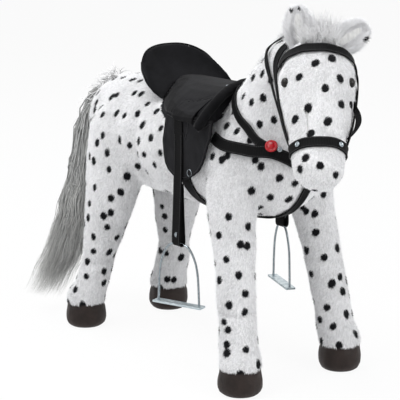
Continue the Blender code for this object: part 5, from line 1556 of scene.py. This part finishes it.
class HORSE_OT_saddle(bpy.types.Operator):
    """Padded seat, cantle and front roll, with flaps, skirts, piping and stitches"""

    bl_idname = "horse.saddle"
    bl_label = "Saddle"

    def execute(self, context):
        for word, node, look, limit, fill, rounds, cuts in PADS:
            pad = stuffed(f"saddle_{word}_pad", node, look, limit, rounds, cuts)
            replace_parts(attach(pad, HORSE), node)
            if word == "seat":
                self.shaded(pad)
        middle, axes, _ = axes_of("saddle_cantle")
        ring = outline_of("saddle_cantle", axes[2], middle, CANTLE_CUTS)
        for _ in range(5):
            ring = (np.roll(ring, 1, 0) + ring * 2 + np.roll(ring, -1, 0)) / 4
        ring = np.roll(ring, -int(ring[:, 2].argmin()), 0)
        rim = ring[ring[:, 2] > PIPING_FOOT]
        rim = np.array(middle) + (rim - np.array(middle)) * PIPING_SHARE
        piped("saddle_cantle_piping", rim, 0.0020, "dark_cloth", closed=False)
        for word, side in zip(SIDES, (-1, 1)):
            flap = self.leaf("saddle_flap_" + word, 0.0006)
            skirt = self.leaf("saddle_skirt_" + word, 0.0008, SKIRT_CUTS)
            self.shaded(skirt)
            low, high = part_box("saddle_flap_" + word)
            outer = high.y if side > 0 else low.y
            ring = outline_of("saddle_flap_" + word, (0, side, 0), (low + high) / 2)
            ring[:, 1] = outer - side * 0.0012
            centre = ring.mean(0)
            binding = centre + (ring - centre) * BINDING_SHARE
            piped("saddle_flap_binding_" + word, binding, 0.0016, "dark_cloth")
            inner = centre + (ring - centre) * FLAP_SEAM_SHARE
            inner[:, 1] = outer + side * 0.0003
            stitched("saddle_flap_stitches_" + word, [[*inner, inner[0]]])
        return {"FINISHED"}

    def shaded(self, piece):
        """Gives the cloth behind the seat's panel the cantle's darker cloth, made darker still as painted
        shade.
        """
        mesh = piece.data
        # The front roll's cloth is the cantle's cloth made darker: on the seat and the skirts it is painted
        # shade.
        mesh.materials.append(look_of("roll_cloth"))
        across, down = pixel_of([face.center for face in mesh.polygons])
        behind = across < np.interp(down, *zip(*SEAT_PANEL_REAR))
        mesh.polygons.foreach_set("material_index", behind.astype(np.int32))
        mesh.update()

    def leaf(self, node, wrinkle, cuts=()):
        """A thin sewn leaf of cloth with soft edges and shallow wrinkles, trimmed along its cuts."""
        shape = solid_of([node])
        for (near_x, near_z), (far_x, far_z) in cuts:
            sliced(shape, (near_x, 0, near_z), Vector((far_z - near_z, 0, near_x - far_x)).normalized())
        mesh = remeshed(shape, LEAF_VOXEL)
        points, edges, _ = arrays_of(mesh)
        points = eased(points, edges, 8)
        place_points(mesh, lumps(points, place_points(mesh, points), 0.016, wrinkle, 3.0))
        piece = piece_of(node + "_cloth", mesh, look_of("flap" if "flap" in node else "cloth"))
        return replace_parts(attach(piece, HORSE), node)


# Webbing

# The strap's section round its edge: along its width and its thickness, as shares of half of each.
WEBBING_SECTION = (
    (-0.88, -1.0), (-0.97, -0.75), (-1.0, 0.0), (-0.97, 0.85), (-0.90, 1.0), (-0.80, 0.86), (0.0, 0.86),
    (0.80, 0.86), (0.90, 1.0), (0.97, 0.85), (1.0, 0.0), (0.97, -0.75), (0.88, -1.0),
)
STITCHED_AT = (-0.78, 0.78)
THINNEST, THICKEST = 0.0009, 0.0036
# How far below the skirt's edge the stirrup strap's stitches start.
SEAM_BELOW_SKIRT = 0.014

# The stirrup strap from its top, down its outer side, round the iron and up behind: (outwards, height) pairs.
STIRRUP_FOLD = ((0.0, 0.252), (0.0, 0.21), (0.0003, 0.177), (0.0016, 0.13), (0.0037, 0.07), (0.0054, 0.034),
                (0.0064, 0.012), (0.0052, 0.0045), (0.0022, 0.0015), (-0.0022, 0.0015), (-0.0052, 0.0045),
                (-0.0064, 0.012), (-0.0054, 0.034), (-0.0042, 0.06), (-0.0030, 0.10), (-0.0024, 0.125))

# The rein's loose end off the far cheek: (across, down) pixels, each with how much of its flat side shows.
REIN_LOOP = ((354.0, 103, 0.0), (355.6, 109.5, 0.5), (357.8, 115, 0.9), (358.6, 121, 0.9), (356.6, 128, 0.5),
             (352.2, 135, 0.1), (348.0, 138.5, 0.0))
# Where the loose end leaves the cheek and meets it again, in pixels.
REIN_CHEEK = ((350.5, 104), (342, 137))

# The straps that follow a packed strap, each with how many places its middle line has.
STRAPS = {
    "girth": 34, "breast_strap_right": 26, "breast_strap_left": 26, "neck_strap_right": 20,
    "neck_strap_left": 20, "chest_strap": 24, "crown_strap": 52, "browband": 26, "rein": 52,
}


def calmed(rows, rounds, closed=False):
    """A strap's rows with the small kinks drawn out of its line. The ends stay."""
    rows = rows.copy()
    for _ in range(rounds):
        if closed:
            ring = rows[:-1, :6]
            ring[:] = ring / 2 + (np.roll(ring, 1, 0) + np.roll(ring, -1, 0)) / 4
            rows[-1] = rows[0]
        else:
            rows[1:-1, :6] = rows[1:-1, :6] / 2 + (rows[:-2, :6] + rows[2:, :6]) / 4
    return rows


def drawn_out(rows, in_order, reach, lift=0.0):
    """A strap's rows with one end drawn out under or over its neighbour: the first end, or else the last."""
    rows = rows.copy() if in_order else rows[::-1].copy()
    ahead = unit(rows[0, :3] - rows[2, :3])
    out = unit(np.cross(ahead, rows[0, 3:6]))
    out *= math.copysign(lift, out[0])
    end = rows[0].copy()
    end[:3] += ahead * reach + out
    rows[0, :3] += out * 0.5
    return np.concatenate([[end], rows])


def webbing(name, node, rows, skin=None, body=HORSE, closed=False, stitch_edges=True):
    """A woven strap along rows of place, side, half width and half thickness.

    It has rounded edges and a row of stitches inside each. Its upper side faces away from the skin.
    """
    step = bpy.context.scene.horse_sizes.strap_step
    rows = smooth_line(rows, step)
    width, ways = np.median(rows[:, 6]), ways_along(rows[:, :3], closed)
    if closed:
        rows, ways = rows[:-1], ways[:-1]
    total, thick = len(rows), np.clip(rows[:, 7], THINNEST, THICKEST)
    points, uvs, lines = [], [], ([], [])
    for i, ahead in enumerate(ways):
        place, side = rows[i, :3], unit(rows[i, 3:6])
        side = unit(side - ahead * (side @ ahead))
        flat = np.cross(ahead, side)
        if skin and flat @ (place - np.array(skin.find_nearest(Vector(place))[0])) < 0:
            flat = -flat
        half = width if 2 < i < total - 3 or closed else width * (0.97 if i in (1, total - 2) else 0.93)
        for across, lift in WEBBING_SECTION:
            points.append(place + side * across * half + flat * lift * thick[i])
            uvs.append((across * half, i * step))
        for line, across in zip(lines, STITCHED_AT):
            line.append(place + side * across * half + flat * (thick[i] + 0.0001))
    mesh = mesh_from(points, tube_faces(total, len(WEBBING_SECTION), closed))
    corners = values_of(mesh.loops, "vertex_index", np.int64, 1)
    mesh.uv_layers.new(name="UVMap").data.foreach_set("uv", np.array(uvs)[corners].ravel())
    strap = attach(piece_of(name, facing_out(mesh), look_of("webbing")), body)
    if node:
        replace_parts(strap, node)
    if stitch_edges:
        if closed:
            lines = [line + line[:1] for line in lines]
        if body != HORSE:
            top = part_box("saddle_skirt_right")[0].z - SEAM_BELOW_SKIRT
            lines = [[place for place in line if place[2] < top] for line in lines]
        stitched(name + "_stitches", lines, body)


class HORSE_OT_webbing(bpy.types.Operator):
    """Woven straps of the bridle, breastplate, girth and stirrups"""

    bl_idname = "horse.webbing"
    bl_label = "Webbing"

    def execute(self, context):
        skin = tree_of(PLUSH_NODES)
        for node, count in STRAPS.items():
            rows = calmed(spine_of(node, count), 3 if "neck" in node or "breast" in node else 1)
            if "breast" in node:
                rows = drawn_out(rows, rows[0, 0] < rows[-1, 0], 0.008)
                rows = drawn_out(rows, False, 0.007)
            if node == "chest_strap":
                rows = drawn_out(rows, rows[0, 2] > rows[-1, 2], 0.013, 0.0026)
            webbing(node + "_webbing", node, rows, skin, stitch_edges=node not in ("rein", "crown_strap"))
        rows = calmed(spine_of("noseband", 40, closed=True), 2, closed=True)
        webbing("noseband_webbing", "noseband", rows, skin, closed=True)
        for word, side in zip(SIDES, (-1, 1)):
            node = "stirrup_strap_" + word
            low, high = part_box(node)
            middle, half = (low + high) / 2, (high.x - low.x) / 2 * 0.98
            rows = np.array([(middle.x, middle.y + side * out, low.z + up, 1, 0, 0, half, 0.0011)
                             for out, up in STIRRUP_FOLD])
            rows[0, 2] = high.z
            webbing(f"stirrup_strap_webbing_{word}", node, rows, body="stirrup_leather_" + word)
        self.loose_end(mesh_tree(bpy.data.objects["plush_cover"].data))
        return {"FINISHED"}

    def loose_end(self, skin):
        """The rein's loose end: a short strap that bulges off the far cheek."""
        eye, right, _, back = camera_axes()
        top, low = (seen_at(skin, *pixel)[0] for pixel in REIN_CHEEK)
        rows = []
        for i, (across, down, flat) in enumerate(REIN_LOOP):
            deep = (eye - top.lerp(low, i / (len(REIN_LOOP) - 1))).dot(back) + 0.006
            side = (back * (1.2 - flat) + right * flat).normalized()
            rows.append((*(eye + sight(across, down) * deep), *side, 0.0055, 0.0011))
        webbing("rein_loose_end", None, np.array(rows), stitch_edges=False)


# Metal

# Half sections of a stud, as shares of its radius and height: its rim, and then its dish or a disc's dome.
STUD_RIM = ((0.96, 0.0), (1.0, 0.30), (0.98, 0.62), (0.90, 0.88), (0.80, 1.0))
STUD_DISH = ((0.68, 0.96), (0.55, 0.70), (0.42, 0.74), (0.22, 0.98), (0.0, 1.04))
DISC_DOME = ((0.72, 0.90), (0.66, 0.82), (0.50, 1.02), (0.28, 1.22), (0.0, 1.30))


def wire(name, node, count, body):
    """A smooth round wire along a CAD wire's middle line."""
    rows = smooth_line(calmed(spine_of(node, count), 1), 0.003)
    piped(name, rows[:, :3], float(np.median(rows[:, 6])), "steel", body, closed=False, node=node)


def stud_head(name, node, body=HORSE, look="steel", top=STUD_DISH, lift=0.0):
    """A domed stud on a CAD stud's place, with a rolled rim and a shallow dish."""
    middle, axes, halves = axes_of(node)
    outward = FACE if node.startswith("noseband") else middle - stance_middle() - Vector((0, 0, 0.42))
    axis = towards(axes[2], outward)
    radius, tall = max(halves[:2]), 2 * halves[2]
    profile = [(radius * out, tall * up) for out, up in STUD_RIM + top]
    turned(name, middle + axis * (lift - halves[2]), axis, profile, look, node, body)


def ring_loop(name, node, lift=0.0):
    """A smooth round ring on a CAD ring's place."""
    middle, axes, halves = axes_of(node)
    middle.z += lift
    thick = float(halves[2])
    radius = float((halves[0] + halves[1]) / 2) - thick
    piped(name, [middle + ray * radius for ray in rays(axes[0], axes[1], 24)], thick, "steel", node=node)


class HORSE_OT_fittings(bpy.types.Operator):
    """Stirrup irons, treads, studs, rings, snaps and the plain round disc"""

    bl_idname = "horse.fittings"
    bl_label = "Fittings"

    def execute(self, context):
        for word in SIDES:
            wire("stirrup_wire_" + word, "stirrup_iron_" + word, 30, "stirrup_" + word)
            dress("stirrup_tread_" + word, "strip")
            stud_head("strap_snap_head_" + word, "strap_snap_" + word, "stirrup_leather_" + word, lift=0.0022)
            stud_head("breastplate_stud_" + word, "breastplate_rivet_" + word)
            stud_head("noseband_stud_" + word, "noseband_rivet_" + word)
            ring_loop("girth_ring_wire_" + word, "girth_ring_" + word)
        ring_loop("saddle_ring_wire", "saddle_ring", lift=0.0012)
        stud_head("round_disc_enamel", "round_disc", look="disc", top=DISC_DOME)
        return {"FINISHED"}


# Stage

FLOOR_HALF = 30.0
LAMP_AIM = Vector((0, 0, 0.35))
# The square soft boxes: name, place, side and power.
LAMPS = (("top", (-0.1, -0.8, 3.0), 1.8, 54.0), ("key", (0.2, -2.9, 2.5), 1.6, 27.0),
         ("fill", (3.2, 0.8, 2.0), 2.2, 60.0), ("rim", (-2.6, 0.2, 2.6), 2.0, 26.0))


def shown_apart(tree, kind, light, shown, share=1.0):
    """Ends a tree with one shader that lights the rest, and one that the camera sees, mirrored too."""
    path = add(tree, "ShaderNodeLightPath").outputs
    seen = maths(tree, "MAXIMUM", path["Is Camera Ray"], path["Is Glossy Ray"])
    seen = maths(tree, "MAXIMUM", seen, path["Is Transmission Ray"])
    pick = add(tree, "ShaderNodeMixShader", {"Fac": maths(tree, "MULTIPLY", seen, share),
                                             1: light.outputs[0], 2: shown.outputs[0]})
    add(tree, kind, {"Surface": pick.outputs[0]})


class HORSE_OT_stage(bpy.types.Operator):
    """Camera at the photograph's angle, pale floor and soft studio light"""

    bl_idname = "horse.stage"
    bl_label = "Stage"

    def execute(self, context):
        scene = context.scene
        place, _, _, back = camera_axes()
        camera = linked("camera", bpy.data.cameras.new("camera"))
        camera.data.lens, camera.data.sensor_width = CAMERA_LENS, SENSOR_WIDTH
        camera.location = place
        camera.rotation_euler = back.to_track_quat("Z", "Y").to_euler()
        scene.camera = camera
        scene.view_settings.view_transform = "Standard"
        self.floor()
        self.world(scene)
        for name, place, size, power in LAMPS:
            lamp = linked(name, bpy.data.lights.new(name, "AREA"))
            lamp.data.size, lamp.data.energy = size, power
            lamp.location = place
            lamp.rotation_euler = (LAMP_AIM - lamp.location).to_track_quat("-Z", "Y").to_euler()
        return {"FINISHED"}

    def floor(self):
        """A plain pale floor that keeps the horse's soft shadow and fades into the backdrop."""
        corners = [(x * FLOOR_HALF, y * FLOOR_HALF, 0) for x, y in ((-1, -1), (1, -1), (1, 1), (-1, 1))]
        material, tree = new_material("floor_matt_white")
        paint = add(tree, "ShaderNodeBsdfDiffuse", {"Color": (0.82, 0.82, 0.82, 1.0)})
        glow = add(tree, "ShaderNodeEmission", {"Color": (1.0, 1.0, 1.0, 1.0), "Strength": 1.0})
        shown_apart(tree, "ShaderNodeOutputMaterial", paint, glow, 0.93)
        piece_of("floor", mesh_from(corners, [range(4)]), material)

    def world(self, scene):
        """White to the camera and in reflections, and a softer grey light on everything else."""
        scene.world = bpy.data.worlds.new("studio")
        scene.world.use_nodes = True
        tree = scene.world.node_tree
        tree.nodes.clear()
        soft = add(tree, "ShaderNodeBackground", {"Color": (0.97, 0.98, 1.0, 1.0), "Strength": 0.43})
        white = add(tree, "ShaderNodeBackground", {"Color": (1.0, 1.0, 1.0, 1.0), "Strength": 1.0})
        shown_apart(tree, "ShaderNodeOutputWorld", soft, white)


class HORSE_PT_panel(bpy.types.Panel):
    """Buttons and values for building the horse's looks"""

    bl_label = "Plush horse"
    bl_space_type = "VIEW_3D"
    bl_region_type = "UI"
    bl_category = "Horse"

    def draw(self, context):
        layout = self.layout
        for operator in OPERATORS:
            layout.operator(operator.bl_idname)
        for group in (context.scene.horse_sizes, context.scene.horse_colours):
            box = layout.box()
            for key in group.__annotations__:
                box.prop(group, key)


OPERATORS = (HORSE_OT_stage, HORSE_OT_plush, HORSE_OT_face, HORSE_OT_ears, HORSE_OT_hooves, HORSE_OT_hair,
             HORSE_OT_saddle, HORSE_OT_webbing, HORSE_OT_fittings)
CLASSES = (HorseSizes, HorseColours, *OPERATORS, HORSE_PT_panel)


def register():
    """Adds the classes and their values to Blender."""
    for item in CLASSES:
        bpy.utils.register_class(item)
    bpy.types.Scene.horse_sizes = PointerProperty(type=HorseSizes)
    bpy.types.Scene.horse_colours = PointerProperty(type=HorseColours)


def unregister():
    """Takes the classes and their values out of Blender."""
    del bpy.types.Scene.horse_sizes
    del bpy.types.Scene.horse_colours
    for item in reversed(CLASSES):
        bpy.utils.unregister_class(item)


def main():
    """Builds every piece in order."""
    register()
    bpy.ops.horse.stage()
    bpy.ops.horse.plush()
    bpy.ops.horse.face()
    bpy.ops.horse.ears()
    bpy.ops.horse.hooves()
    bpy.ops.horse.hair()
    bpy.ops.horse.saddle()
    bpy.ops.horse.webbing()
    bpy.ops.horse.fittings()


if __name__ == "__main__":
    main()
